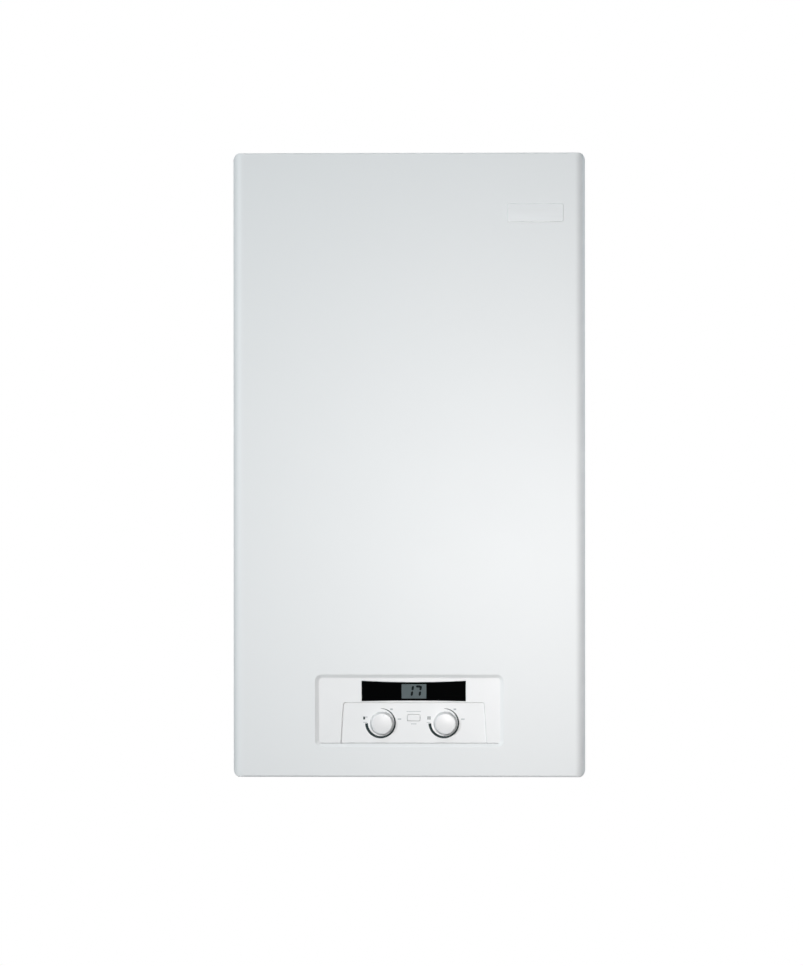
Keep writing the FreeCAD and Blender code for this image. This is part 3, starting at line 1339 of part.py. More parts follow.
blade = pad(wheel, "front", rectangle(("-pipe_wall", "pipe_wall"),
                                      ("pump_hub_radius + 1", "pump_wheel_radius - 0.5")),
            (wheel_back, "pump_front - 6"))
around(wheel, blade, "Y_Axis", "pump_blades")
keep("pump_wheel", wheel)
motor_front = "(pump_front + pump_motor_length)"
bore_end = "(pump_front + pump_motor_length / 2 + 1)"
keep("pump_motor", turned("pump_motor", "out", [
    ("pump_front", "shaft_radius + shaft_play"), ("pump_front", "pump_radius"),
    ("pump_front + 6", "pump_radius"),
    ("pump_front + 6", "pump_motor_radius"), (f"{motor_front} - 5", "pump_motor_radius"),
    (motor_front, "pump_motor_radius - 5"), (motor_front, "0"), (bore_end, "0"),
    (bore_end, "shaft_radius + shaft_play")], pump_axis))

# automatic air vent on the pump's shoulder
vent = turned("vent_case", "up", [("pump_up", "0"), ("pump_up", "vent_radius"),
                                  ("vent_high - 12", "vent_radius"),
                                  ("vent_high - 12", "vent_radius / 2"), ("vent_high - 8", "vent_radius / 2"),
                                  ("vent_high - 8", "vent_radius - 2"), ("vent_high", "vent_radius - 2"),
                                  ("vent_high", "0")], (f"{column_x} + vent_shift", "port_out"))
keep("air_vent", cut(vent, rod("out", "pump_radius", pump_axis, ("pump_back", "pump_front"))))

# flow and return pipes between the blocks and the drum
pipe_bore = "pipe_radius - pipe_wall"
for label, side, low, turn, high in (("flow_pipe", left, "flow_block_high", "flow_bend_up", "flow_port_up"),
                                     ("return_pipe", right, "pump_outlet_up", "return_bend_up",
                                      "return_port_up")):
    pipe(label, [(f"{side} * {column_x}", "port_out", low), (f"{side} * {column_x}", "port_out", turn),
                 (f"{side} * ({column_x} + pipe_shift)", "port_out_high", turn),
                 (f"{side} * ({column_x} + pipe_shift)", "port_out_high", high),
                 (f"{side} * spigot_reach", "port_out_high", high)], "pipe_bend", "pipe_radius", pipe_bore)

# safety valve on the return block, with its drain and turning knob
safety_up = "(block_low + block_foot / 2)"
safety_front = f"({block_front} + safety_length)"
drain_axis = ("safety_x", f"{block_front} + safety_length / 2")
body = rod("out", "safety_radius", ("safety_x", safety_up), (block_front, safety_front))
drain = rod("up", "drain_radius", drain_axis, ("drain_low", safety_up))
drain_bore = rod("up", "drain_radius - 2 * pipe_wall", drain_axis, ("drain_low", safety_up))
knob_seat = rod("out", "stem_radius + stem_play", ("safety_x", safety_up),
                (f"{safety_front} - safety_length / 4", safety_front))
keep("safety_valve", cut(fuse(body, drain), drain_bore, knob_seat))
cap_back = f"({safety_front} + arm_clear)"
cap_front = f"({cap_back} + safety_knob_length)"
knob = turned("safety_valve_knob", "out", [
    (f"{safety_front} - safety_length / 4 + 1", "0"),
    (f"{safety_front} - safety_length / 4 + 1", "stem_radius"),
    (cap_back, "stem_radius"), (cap_back, "safety_knob_radius"), (cap_front, "safety_knob_radius"),
    (cap_front, "0")], ("safety_x", safety_up))
groove = pocket(knob, "front", [], (f"{cap_back} + 2", cap_front), [(("0", "safety_knob_radius"), "2")])
around(knob, groove, "Y_Axis", "safety_grooves")
keep("safety_valve_knob", knob)

# filling valve below the return block, with a knob under the bottom plate
filler = turned("filling_valve", "up", [
    (floor_top, "filler_stem + stem_play"), (floor_top, "filler_radius"), ("block_low", "filler_radius"),
    ("block_low", "0"), ("block_low - 8", "0"), ("block_low - 8", "filler_stem + stem_play")],
    ("filler_x", "port_out"))
keep("filling_valve", filler)
body = turned("filling_valve_knob", "up", [
    ("filler_knob_low", "0"), ("filler_knob_low", "filler_knob_radius"),
    ("filler_knob_high", "filler_knob_radius"),
    ("filler_knob_high", "filler_stem"), ("block_low - 9", "filler_stem"), ("block_low - 9", "0")],
    ("filler_x", "port_out"))
for side in (left, right):
    wing = sorted((f"{side} * filler_knob_radius / 3", f"{side} * filler_knob_radius"), key=number)
    pocket(body, "plan", rectangle(wing, ("-filler_knob_radius", "filler_knob_radius")),
           ("filler_knob_low", "filler_knob_high - 5"))
keep("filling_valve_knob", body)

# connection nipples, each with a nut on the bottom plate
nipples = []
for place, size in PORTS.items():
    axis = (f"{place} * port_spacing", "port_out")
    body = turned(f"nipple_{place + 2}", "up", [
        ("nipple_low", f"{size} - nipple_wall"), ("nipple_low", size), ("nipple_low + thread_length", size),
        ("nipple_low + thread_length", f"{size} - thread_relief"), (floor_top, f"{size} - thread_relief"),
        (floor_top, f"{size} + nut_width"), (f"{floor_top} + nut_thick", f"{size} + nut_width"),
        (f"{floor_top} + nut_thick", size), ("block_low", size), ("block_low", f"{size} - nipple_wall")],
        axis)
    nipples.append(body)
keep("connection_nipples", group(*nipples))

doc.recompute()
faults = [item.Label for item in doc.Objects if {"Invalid", "Error"} & set(item.State)]
faults += [label for label, item in kept.items()
           if item.Label != label or item.Shape.isNull() or not item.Shape.isValid()]
if faults:
    raise RuntimeError(f"not built: {faults}")
os.makedirs("parts", exist_ok=True)
for label, item in kept.items():
    item.Shape.exportStep(f"parts/{label}.step")
print(len(kept), "sub-parts written")
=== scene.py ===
import bpy
import json
import math
import numpy as np
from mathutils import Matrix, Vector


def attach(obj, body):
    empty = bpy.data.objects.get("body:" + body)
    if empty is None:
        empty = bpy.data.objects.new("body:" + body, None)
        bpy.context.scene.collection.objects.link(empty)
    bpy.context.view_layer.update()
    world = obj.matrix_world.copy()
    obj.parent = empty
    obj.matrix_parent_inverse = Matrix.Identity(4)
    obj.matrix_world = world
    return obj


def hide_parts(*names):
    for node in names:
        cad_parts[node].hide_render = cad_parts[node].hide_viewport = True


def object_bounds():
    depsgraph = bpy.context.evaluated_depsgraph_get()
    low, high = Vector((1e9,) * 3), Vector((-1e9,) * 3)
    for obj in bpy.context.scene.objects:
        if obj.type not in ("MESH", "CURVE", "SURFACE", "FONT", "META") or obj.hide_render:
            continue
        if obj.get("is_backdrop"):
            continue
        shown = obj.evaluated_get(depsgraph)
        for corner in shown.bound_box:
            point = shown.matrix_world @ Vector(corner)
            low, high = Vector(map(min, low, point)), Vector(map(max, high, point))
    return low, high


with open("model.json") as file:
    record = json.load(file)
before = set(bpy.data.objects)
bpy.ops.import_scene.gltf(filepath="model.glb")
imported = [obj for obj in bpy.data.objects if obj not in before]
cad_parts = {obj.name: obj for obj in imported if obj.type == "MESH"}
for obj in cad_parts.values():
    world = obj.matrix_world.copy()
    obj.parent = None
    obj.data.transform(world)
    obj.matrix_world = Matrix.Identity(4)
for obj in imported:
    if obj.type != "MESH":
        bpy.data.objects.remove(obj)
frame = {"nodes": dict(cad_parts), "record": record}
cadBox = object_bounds()
nodes = frame["nodes"]

# Metres throughout: x to the right seen from the front, y into the wall, z up from the bolt line.
casing = {
    "low": -0.695, "high": 0.045, "halfWidth": 0.209,
    "front": -0.344, "coverBack": -0.282, "sheet": 0.001,
}
quarterTurn = math.pi / 2
leastLength = 1e-9


def upFrom(height):
    # a height above the casing's lower edge
    return casing["low"] + height


print("stage 1: frame loaded")


def putMesh(name, points, faces, crease=28):
    # a smooth mesh that stays sharp where its faces meet at more than this angle in degrees
    mesh = bpy.data.meshes.new(name)
    mesh.from_pydata(np.asarray(points, float).reshape(-1, 3).tolist(), [], faces)
    mesh.validate()
    mesh.shade_smooth()
    mesh.set_sharp_from_angle(angle=math.radians(crease))
    made = bpy.data.objects.new(name, mesh)
    bpy.context.scene.collection.objects.link(made)
    return made


def gridFaces(rows, across, closeRows, closeAcross):
    # quads between neighbouring points of a grid, wrapping round where it is closed
    i = np.arange(rows if closeRows else rows - 1)
    j = np.arange(across if closeAcross else across - 1)
    i, j = np.meshgrid(i, j, indexing="ij")
    up, over = (i + 1) % rows, (j + 1) % across
    quads = np.stack([i * across + j, i * across + over, up * across + over, up * across + j], -1)
    return quads.reshape(-1, 4).tolist()


def surface(name, grid, closeRows=False, closeAcross=True, caps=False, crease=28):
    # a mesh from a grid of points (row, across, xyz); caps close the first and last rows
    grid = np.asarray(grid, float)
    rows, across = grid.shape[:2]
    faces = gridFaces(rows, across, closeRows, closeAcross)
    if caps:
        faces.append(list(range(across))[::-1])
        faces.append(list(range((rows - 1) * across, rows * across)))
    return putMesh(name, grid, faces, crease)


def roundedOutline(centre, half, radius, cornerSteps=8):
    # a rounded rectangle in x and z: four quarter circles, joined by straight sides
    turns = np.linspace(0, quarterTurn, cornerSteps + 1)
    corners = []
    for quarter, (sx, sz) in enumerate(((1, 1), (-1, 1), (-1, -1), (1, -1))):
        angle = turns + quarter * quarterTurn
        corners.append(np.stack([centre[0] + sx * (half[0] - radius) + radius * np.cos(angle),
                                 centre[1] + sz * (half[1] - radius) + radius * np.sin(angle)], -1))
    return np.concatenate(corners)


def atDepth(outline, depth):
    # an x, z outline placed at one y, or at a y for each of its points
    depth = np.broadcast_to(depth, len(outline))
    return np.stack([outline[:, 0], depth, outline[:, 1]], -1)


rounding = {"steps": 4, "flatStart": 1.6}


def plate(name, outline, back, front, edge=0.0):
    # a flat plate; its front rim is a quarter circle: the outline moves inwards along its normals by
    # edge times one less the cosine, while it comes forward by edge times the sine
    outline = np.asarray(outline, float)
    along = np.roll(outline, -1, 0) - np.roll(outline, 1, 0)
    along /= np.maximum(np.linalg.norm(along, axis=1, keepdims=True), leastLength)
    inward = np.stack([-along[:, 1], along[:, 0]], -1)
    rows = [atDepth(outline, back), atDepth(outline, front + edge)]
    if edge:
        for turn in np.linspace(0, quarterTurn, rounding["steps"])[1:]:
            drawnIn = outline + inward * edge * (1 - math.cos(turn))
            rows.append(atDepth(drawnIn, front + edge * (1 - math.sin(turn))))
        rows.append(atDepth(outline + inward * edge * rounding["flatStart"], front))
    return surface(name, np.stack(rows), caps=True)


def finishPiece(piece, body, slot, material, *stands):
    piece.data.materials.clear()
    piece.data.materials.append(material)
    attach(piece, body)
    if stands:
        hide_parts(*stands)


print("stage 2: materials")


def newMaterial(name):
    made = bpy.data.materials.new(name)
    made.use_nodes = True
    graph = made.node_tree
    shader = graph.nodes["Principled BSDF"]
    place = graph.nodes.new("ShaderNodeTexCoord")
    return made, graph, shader, place.outputs["Object"]


def noise(graph, place, size, detail=3.0, stretch=(1, 1, 1), kind="ShaderNodeTexNoise"):
    # a noise whose features are about this size in metres, drawn out along an axis by stretch
    mapping = graph.nodes.new("ShaderNodeMapping")
    mapping.inputs["Scale"].default_value = [1 / (size * part) for part in stretch]
    graph.links.new(place, mapping.inputs["Vector"])
    texture = graph.nodes.new(kind)
    texture.inputs["Scale"].default_value = 1.0
    if kind == "ShaderNodeTexNoise":
        texture.inputs["Detail"].default_value = detail
    graph.links.new(mapping.outputs["Vector"], texture.inputs["Vector"])
    return texture.outputs["Fac" if kind == "ShaderNodeTexNoise" else "Distance"]


def spread(graph, value, low, high, fromLow=0.3, fromHigh=0.7):
    # a noise value stretched to run between two numbers
    scaled = graph.nodes.new("ShaderNodeMapRange")
    for socket, number in zip(("From Min", "From Max", "To Min", "To Max"), (fromLow, fromHigh, low, high)):
        scaled.inputs[socket].default_value = number
    graph.links.new(value, scaled.inputs["Value"])
    return scaled.outputs["Result"]


def mixColours(graph, factor, first, second):
    mixed = graph.nodes.new("ShaderNodeMix")
    mixed.data_type = "RGBA"
    graph.links.new(factor, mixed.inputs["Factor"])
    for socket, colour in ((mixed.inputs["A"], first), (mixed.inputs["B"], second)):
        if isinstance(colour, tuple):
            socket.default_value = (*colour, 1)
        else:
            graph.links.new(colour, socket)
    return mixed.outputs["Result"]


def bumps(graph, shader, layers):
    # bump layers one upon another: (height, depth in metres)
    normal = None
    for height, depth in layers:
        bump = graph.nodes.new("ShaderNodeBump")
        bump.inputs["Distance"].default_value = depth
        graph.links.new(height, bump.inputs["Height"])
        if normal:
            graph.links.new(normal, bump.inputs["Normal"])
        normal = bump.outputs["Normal"]
    graph.links.new(normal, shader.inputs["Normal"])


def toned(colour, amount):
    return tuple(min(1.0, max(0.0, part * amount)) for part in colour)


wear = {"driftDetail": 4.0, "glossDetail": 3.0, "glossShare": 0.6, "waveSize": 0.18, "waveDetail": 1.0}
spangleRange = {"low": 0, "high": 0.5, "fromLow": 0.1, "fromHigh": 0.8}
spangleShade = 4  # how many times stronger a spangle is than the drift of the colour


def finish(name, colour, shades=0.06, patch=0.03, rough=(0.4, 0.5), metallic=0.0, grain=0.0008,
           depth=0.00002, stretch=(1, 1, 1), specular=0.5, wave=0.0, spangle=0.0, detail=3.0, second=None):
    # a finish with drifting colour, uneven gloss and a fine grain: enamel, moulded plastic, casting or sheet
    made, graph, shader, place = newMaterial(name)
    drift = spread(graph, noise(graph, place, patch, wear["driftDetail"], stretch), 0, 1)
    tone = mixColours(graph, drift, toned(colour, 1 - shades), second or toned(colour, 1 + shades))
    if spangle:
        cells = noise(graph, place, spangle, kind="ShaderNodeTexVoronoi")
        tone = mixColours(graph, spread(graph, cells, **spangleRange), tone,
                          toned(colour, 1 - spangleShade * shades))
    graph.links.new(tone, shader.inputs["Base Color"])
    uneven = noise(graph, place, patch * wear["glossShare"], wear["glossDetail"], stretch)
    graph.links.new(spread(graph, uneven, *rough), shader.inputs["Roughness"])
    shader.inputs["Metallic"].default_value = metallic
    shader.inputs["Specular IOR Level"].default_value = specular
    layers = [(noise(graph, place, grain, detail, stretch), depth)]
    if wave:
        layers.append((noise(graph, place, wear["waveSize"], wear["waveDetail"]), wave))
    bumps(graph, shader, layers)
    return made


def boardFinish(name, values):
    # a lacquered board: square copper tracks under green varnish
    made, graph, shader, place = newMaterial(name)
    tracks = graph.nodes.new("ShaderNodeTexBrick")
    tracks.inputs["Scale"].default_value = 1.0
    for socket, size in (("Brick Width", "trackLength"), ("Row Height", "trackPitch"),
                         ("Mortar Size", "trackWidth")):
        tracks.inputs[socket].default_value = values[size]
    turn = graph.nodes.new("ShaderNodeMapping")
    turn.inputs["Rotation"].default_value = (quarterTurn, 0, 0)
    graph.links.new(place, turn.inputs["Vector"])
    graph.links.new(turn.outputs["Vector"], tracks.inputs["Vector"])
    tone = mixColours(graph, tracks.outputs["Fac"], values["varnish"], values["copper"])
    graph.links.new(tone, shader.inputs["Base Color"])
    uneven = noise(graph, place, values["patch"])
    graph.links.new(spread(graph, uneven, *values["rough"]), shader.inputs["Roughness"])
    bumps(graph, shader, [(tracks.outputs["Fac"], values["trackDepth"])])
    return made


boardValues = {
    "trackLength": 0.013, "trackPitch": 0.0026, "trackWidth": 0.0003, "trackDepth": 0.00005,
    "varnish": (0.012, 0.10, 0.05), "copper": (0.09, 0.26, 0.12), "patch": 0.01, "rough": (0.25, 0.4),
}
# each finish: name, colour, how far the colour drifts, size of its patches and range of its roughness;
# grain is the size of the fine bumps and depth their height, in metres as the patches
finishes = {
    "white_enamel": finish("coverEnamel", (0.745, 0.757, 0.761), 0.006, 0.3, (0.50, 0.53), grain=0.0012,
                           depth=0.000006, wave=0.00001, specular=0.45),
    "casing_enamel": finish("casingEnamel", (0.66, 0.70, 0.72), 0.015, 0.2, (0.34, 0.42), grain=0.0012,
                            depth=0.000008),
    "galvanised_steel": finish("galvanisedSheet", (0.52, 0.54, 0.55), 0.10, 0.02, (0.32, 0.5),
                               metallic=1.0, spangle=0.007, grain=0.002, depth=0.00001),
    "silver_badge": finish("badgeSilver", (0.522, 0.541, 0.550), 0.03, 0.01, (0.38, 0.46),
                           metallic=0.25, grain=0.0002, depth=0.000004, stretch=(12, 1, 1)),
    "screw_steel": finish("zincScrew", (0.55, 0.55, 0.52), 0.06, 0.002, (0.25, 0.4), metallic=1.0,
                          grain=0.0004),
    "seal_rubber": finish("foamRubber", (0.025, 0.025, 0.026), 0.2, 0.004, (0.8, 0.95), grain=0.0004,
                          depth=0.0002),
    "gland_plastic": finish("glandPlastic", (0.03, 0.03, 0.032), 0.1, 0.01, (0.4, 0.55), grain=0.0005),
    "box_plastic": finish("boxPlastic", (0.34, 0.36, 0.37), 0.04, 0.05, (0.45, 0.6), grain=0.0006,
                          depth=0.00004),
    "fascia_plastic": finish("fasciaPlastic", (0.728, 0.734, 0.738), 0.01, 0.06, (0.38, 0.44),
                             grain=0.0007, depth=0.000008),
    "display_black": finish("displayWindow", (0.0008, 0.0009, 0.001), 0.1, 0.05, (0.05, 0.08),
                            grain=0.004, depth=0.000001, specular=0.01),
    "display_glass": finish("displayModule", (0.033, 0.057, 0.063), 0.05, 0.01, (0.3, 0.4),
                            grain=0.0005, depth=0.000004, specular=0.2),
    "board_green": boardFinish("circuitBoard", boardValues),
    "control_plastic": finish("controlPlastic", (0.02, 0.05, 0.12), 0.08, 0.01, (0.4, 0.5),
                              grain=0.0005),
    "knob_plastic": finish("knobPlastic", (0.696, 0.698, 0.700), 0.01, 0.02, (0.30, 0.38), grain=0.0005,
                           depth=0.000006),
    "button_plastic": finish("buttonPlastic", (0.708, 0.714, 0.718), 0.01, 0.02, (0.34, 0.42),
                             grain=0.0005, depth=0.000006),
    "exchanger_alloy": finish("castAlloy", (0.58, 0.59, 0.60), 0.08, 0.02, (0.42, 0.6), metallic=0.9,
                              grain=0.0011, depth=0.00012),
    "coil_steel": finish("coilSteel", (0.5, 0.49, 0.48), 0.06, 0.01, (0.25, 0.35), metallic=1.0,
                         grain=0.0006),
    "insulation_fibre": finish("ceramicFibre", (0.74, 0.71, 0.64), 0.06, 0.01, (0.9, 1.0), grain=0.0006,
                               depth=0.0003, detail=6.0),
    "burner_steel": finish("heatTintedSteel", (0.30, 0.26, 0.25), 0.15, 0.02, (0.3, 0.45), metallic=1.0,
                           second=(0.20, 0.16, 0.24), grain=0.0005),
    "electrode_ceramic": finish("ceramicSleeve", (0.80, 0.78, 0.73), 0.03, 0.006, (0.35, 0.5),
                                grain=0.0004),
    "transformer_plastic": finish("pottedBlock", (0.02, 0.02, 0.022), 0.15, 0.01, (0.35, 0.5),
                                  grain=0.0006),
    "lead_silicone": finish("siliconeLead", (0.42, 0.05, 0.03), 0.06, 0.01, (0.45, 0.6), grain=0.0008),
    "fan_alloy": finish("fanCasting", (0.56, 0.57, 0.58), 0.08, 0.015, (0.4, 0.58), metallic=0.9,
                        grain=0.0009, depth=0.0001),
    "fan_wheel_alloy": finish("fanWheelSheet", (0.62, 0.63, 0.64), 0.05, 0.01, (0.28, 0.4),
                              metallic=1.0, grain=0.0006),
    "motor_black": finish("motorCover", (0.02, 0.02, 0.021), 0.12, 0.02, (0.42, 0.55), grain=0.0006,
                          depth=0.00005),
    "mixer_plastic": finish("mixerPlastic", (0.035, 0.035, 0.037), 0.1, 0.02, (0.45, 0.6), grain=0.0006,
                            depth=0.00005),
    "silencer_plastic": finish("silencerPlastic", (0.05, 0.05, 0.053), 0.08, 0.03, (0.5, 0.65),
                               grain=0.0008, depth=0.00006),
    "valve_alloy": finish("dieCastValve", (0.60, 0.61, 0.62), 0.06, 0.02, (0.38, 0.52), metallic=0.9,
                          grain=0.0007, depth=0.00007),
    "gas_pipe_steel": finish("yellowLacquer", (0.62, 0.44, 0.04), 0.05, 0.02, (0.3, 0.42), grain=0.0012,
                             depth=0.00001),
    "flue_alloy": finish("spunAlloy", (0.62, 0.63, 0.64), 0.04, 0.02, (0.25, 0.36), metallic=1.0,
                         grain=0.0004, stretch=(1, 1, 8)),
    "collar_enamel": finish("collarEnamel", (0.70, 0.73, 0.74), 0.015, 0.03, (0.32, 0.4), grain=0.0012),
    "trap_plastic": finish("trapPlastic", (0.66, 0.66, 0.60), 0.03, 0.03, (0.35, 0.5), grain=0.0008,
                           depth=0.00003),
    "hose_rubber": finish("hoseRubber", (0.03, 0.03, 0.031), 0.12, 0.01, (0.5, 0.65), grain=0.0007,
                          depth=0.00004),
    "vessel_red": finish("vesselEnamel", (0.30, 0.018, 0.014), 0.06, 0.06, (0.28, 0.4), grain=0.0013,
                         depth=0.00002),
    "copper_pipe": finish("drawnCopper", (0.74, 0.34, 0.20), 0.08, 0.012, (0.2, 0.36), metallic=1.0,
                          second=(0.50, 0.20, 0.12), grain=0.0005),
    "block_brass": finish("machinedBrass", (0.62, 0.46, 0.20), 0.07, 0.014, (0.26, 0.42), metallic=1.0,
                          second=(0.48, 0.34, 0.14), grain=0.0006, depth=0.00003),
    "stem_brass": finish("turnedBrass", (0.66, 0.50, 0.22), 0.05, 0.006, (0.2, 0.3), metallic=1.0,
                         grain=0.0003),
    "actuator_plastic": finish("actuatorPlastic", (0.70, 0.70, 0.68), 0.02, 0.02, (0.4, 0.52),
                               grain=0.0006, depth=0.00003),
    "plate_steel": finish("brazedPlates", (0.55, 0.55, 0.54), 0.08, 0.012, (0.25, 0.4), metallic=1.0,
                          grain=0.0008),
    "pump_iron": finish("paintedCasting", (0.035, 0.036, 0.04), 0.12, 0.02, (0.45, 0.6), grain=0.0012,
                        depth=0.00015),
    "pump_wheel_plastic": finish("pumpWheelPlastic", (0.03, 0.03, 0.032), 0.1, 0.01, (0.4, 0.5),
                                 grain=0.0006),
    "pump_motor_alloy": finish("motorCasting", (0.30, 0.31, 0.33), 0.08, 0.02, (0.4, 0.55),
                               metallic=0.7, grain=0.001, depth=0.0001),
    "vent_brass": finish("ventBrass", (0.64, 0.48, 0.22), 0.06, 0.01, (0.24, 0.38), metallic=1.0,
                         grain=0.0005),
    "safety_brass": finish("safetyBrass", (0.62, 0.46, 0.21), 0.06, 0.01, (0.26, 0.4), metallic=1.0,
                           grain=0.0005),
    "safety_red": finish("safetyRed", (0.48, 0.02, 0.015), 0.05, 0.01, (0.35, 0.5), grain=0.0005,
                         depth=0.00003),
    "filler_brass": finish("fillerBrass", (0.63, 0.47, 0.21), 0.06, 0.01, (0.26, 0.4), metallic=1.0,
                           grain=0.0005),
    "filler_black": finish("fillerBlack", (0.018, 0.018, 0.02), 0.1, 0.01, (0.4, 0.55), grain=0.0005,
                           depth=0.00003),
}
for part in frame["record"]["subparts"]:
    nodes[part["node"]].data.materials.clear()
    nodes[part["node"]].data.materials.append(finishes[part["material_slot"]])

print("stage 3: front cover")

window = {
    "half": (0.1078, 0.03905), "middle": (0.0, upFrom(0.07855)), "radius": 0.004, "slope": 0.0033,
    "depth": 0.0021, "rim": 0.002, "soft": 0.0008, "softSteps": 4, "foot": 0.0004, "flat": 0.0012,
}
cover = {
    "sideRoll": 0.012, "endRoll": 0.0026, "corner": 0.008, "flatCorner": 0.0045, "rollSteps": 14,
    "cornerSteps": 14, "crease": 32, "lip": 0.014, "headLip": 0.024, "footLip": 0.013, "lipCorner": 0.003,
    "pinX": 0.150, "pinDrop": 0.013, "pinHole": 0.0031, "pinDrill": 0.006, "pinSides": 32,
    "tabX": 0.175, "tabWidth": 0.014, "tabReach": 0.019, "slotWidth": 0.005, "slotEnd": -0.2775,
    "slotSteps": 13,
}
frontMiddle = np.array([0.0, (casing["high"] + casing["low"]) / 2])


def coverRing(inset, turn):
    # one ring of the pan: a rounded rectangle that grows with the sine as the roll turns from the face (0)
    # to the side (90 degrees), and goes back with one less the cosine; the roll is wide at the pan's sides
    # and tight at its ends
    shrunk = 1 - math.sin(turn)
    half = (casing["halfWidth"] - inset - (cover["sideRoll"] - inset) * shrunk,
            (casing["high"] - casing["low"]) / 2 - inset - (cover["endRoll"] - inset) * shrunk)
    radius = cover["flatCorner"] + (cover["corner"] - inset - cover["flatCorner"]) * math.sin(turn)
    outline = roundedOutline(frontMiddle, half, radius, cover["cornerSteps"])
    fromMiddle = np.abs(outline - frontMiddle) - (np.array(half) - radius)
    lean = np.clip(fromMiddle, 0, None) / radius
    share = lean[:, 0] ** 2 / np.maximum((lean ** 2).sum(1), leastLength)
    roll = cover["endRoll"] + (cover["sideRoll"] - cover["endRoll"]) * share - inset
    return atDepth(outline, casing["front"] + inset + roll * (1 - math.cos(turn)))


def coverWall(inset):
    # the rings of one wall of the pan, from its flat face to the end of its roll
    turns = np.linspace(0, quarterTurn, cover["rollSteps"] + 1)
    return [coverRing(inset, turn) for turn in turns]


def windowRing(grow, depth):
    half = (window["half"][0] + grow, window["half"][1] + grow)
    outline = roundedOutline(window["middle"], half, window["radius"] + grow, cover["cornerSteps"])
    return atDepth(outline, depth)


def lipRing(depth):
    # the inner edge of the flange behind the pan
    top, bottom = casing["high"] - cover["headLip"], upFrom(cover["footLip"])
    half = (casing["halfWidth"] - cover["lip"], (top - bottom) / 2)
    outline = roundedOutline((0.0, (top + bottom) / 2), half, cover["lipCorner"], cover["cornerSteps"])
    return atDepth(outline, depth)


sheet, face, rear = casing["sheet"], casing["front"], casing["coverBack"]
outerWall, innerWall = coverWall(0.0), coverWall(sheet)
wallEnd, innerEnd = outerWall[-1].copy(), innerWall[-1].copy()
wallEnd[:, 1], innerEnd[:, 1] = rear, rear - sheet
# the bevel starts as a parabola, runs straight and ends in a short upright foot
bevel = []
for slide in window["soft"] * np.linspace(0, 1, window["softSteps"]):
    bevel.append(windowRing(window["slope"] + window["soft"] - slide,
                            face + slide ** 2 / (2 * window["soft"])))
windowFoot = face + window["depth"]
bevel += [windowRing(0.0, windowFoot - window["foot"]), windowRing(0.0, windowFoot)]
rimBehind = window["slope"] + window["rim"]
# two rings in the flat face, close to its edges, keep the shading of the rolls out of it
faceEdge = coverRing(0.0, 0.0)
faceEdge[:, [0, 2]] -= window["flat"] * np.sign(faceEdge[:, [0, 2]] - frontMiddle)
faceMouth = windowRing(window["slope"] + window["soft"] + window["flat"], face)
rings = [lipRing(rear - sheet), lipRing(rear), wallEnd, *outerWall[::-1], faceEdge, faceMouth, *bevel,
         windowRing(rimBehind, windowFoot), windowRing(rimBehind, face + sheet), *innerWall, innerEnd]
frontCover = surface("frontCover", np.stack(rings), closeRows=True, crease=cover["crease"])
for side in (-1, 1):
    pinPlace = (side * cover["pinX"], rear, casing["high"] - cover["pinDrop"])
    bpy.ops.mesh.primitive_cylinder_add(vertices=cover["pinSides"], radius=cover["pinHole"],
                                        depth=cover["pinDrill"], location=pinPlace,
                                        rotation=(quarterTurn, 0, 0))
    cutter = bpy.context.object
    hole = frontCover.modifiers.new("pinHole", "BOOLEAN")
    hole.object, hole.operation, hole.solver = cutter, "DIFFERENCE", "EXACT"
    evaluated = frontCover.evaluated_get(bpy.context.evaluated_depsgraph_get())
    drilled = bpy.data.meshes.new_from_object(evaluated)
    frontCover.modifiers.clear()
    frontCover.data = drilled
    bpy.data.objects.remove(cutter)
finishPiece(frontCover, "cover", "white_enamel", finishes["white_enamel"], "front_cover")

for side, name in ((-1, "coverTabLeft"), (1, "coverTabRight")):
    # a flat tongue with a slot open at its back, drawn as one outline seen from above
    x, wide, slot = side * cover["tabX"], cover["tabWidth"] / 2, cover["slotWidth"] / 2
    start, end = rear - sheet, rear + cover["tabReach"]
    turns = np.linspace(0, math.pi, cover["slotSteps"])
    bend = np.stack([x + slot * np.cos(turns), cover["slotEnd"] + slot - slot * np.sin(turns)], -1)
    outline = np.concatenate([[(x - wide, start), (x + wide, start), (x + wide, end), (x + slot, end)], bend,
                              [(x - slot, end), (x - wide, end)]])
    top = upFrom(cover["footLip"])
    levels = [np.column_stack([outline, np.full(len(outline), z)]) for z in (top - sheet, top)]
    tab = surface(name, np.stack(levels), caps=True)
    finishPiece(tab, "cover", "white_enamel", finishes["white_enamel"])

print("stage 4: control panel")

panel = {
    "middle": 0.0053, "face": -0.3416, "back": -0.3366, "halfWide": 0.1118,
    "low": upFrom(0.0355), "high": upFrom(0.1216), "crease": 40, "edgeSoft": 0.0003,
    "recessTop": upFrom(0.0882), "recessFoot": upFrom(0.0395), "topHalf": 0.0835, "footHalf": 0.0865,
    "recessDepth": 0.0015, "recessCorner": 0.0024, "soft": 0.0007, "footGroove": 0.0010, "footReach": 0.0010,
    "displayHalf": 0.0618, "displayLow": upFrom(0.0897), "displayHigh": upFrom(0.114),
    "bowTop": 0.0017, "bowFoot": 0.0007, "displayDepth": 0.0010,
    "buttonHalf": (0.0074, 0.0037), "buttonUp": upFrom(0.0702), "buttonRound": 0.0012,
    "buttonPlay": 0.0003, "buttonPit": 0.0042,
}


def displayEdges(x):
    # the display's upper and lower edges, which bow towards each other as a parabola
    arc = 1 - np.clip((x - panel["middle"]) / panel["displayHalf"], -1, 1) ** 2
    return panel["displayHigh"] - panel["bowTop"] * arc, panel["displayLow"] + panel["bowFoot"] * arc


def smoothStep(value):
    value = np.clip(value, 0, 1)
    return value * value * (3 - 2 * value)


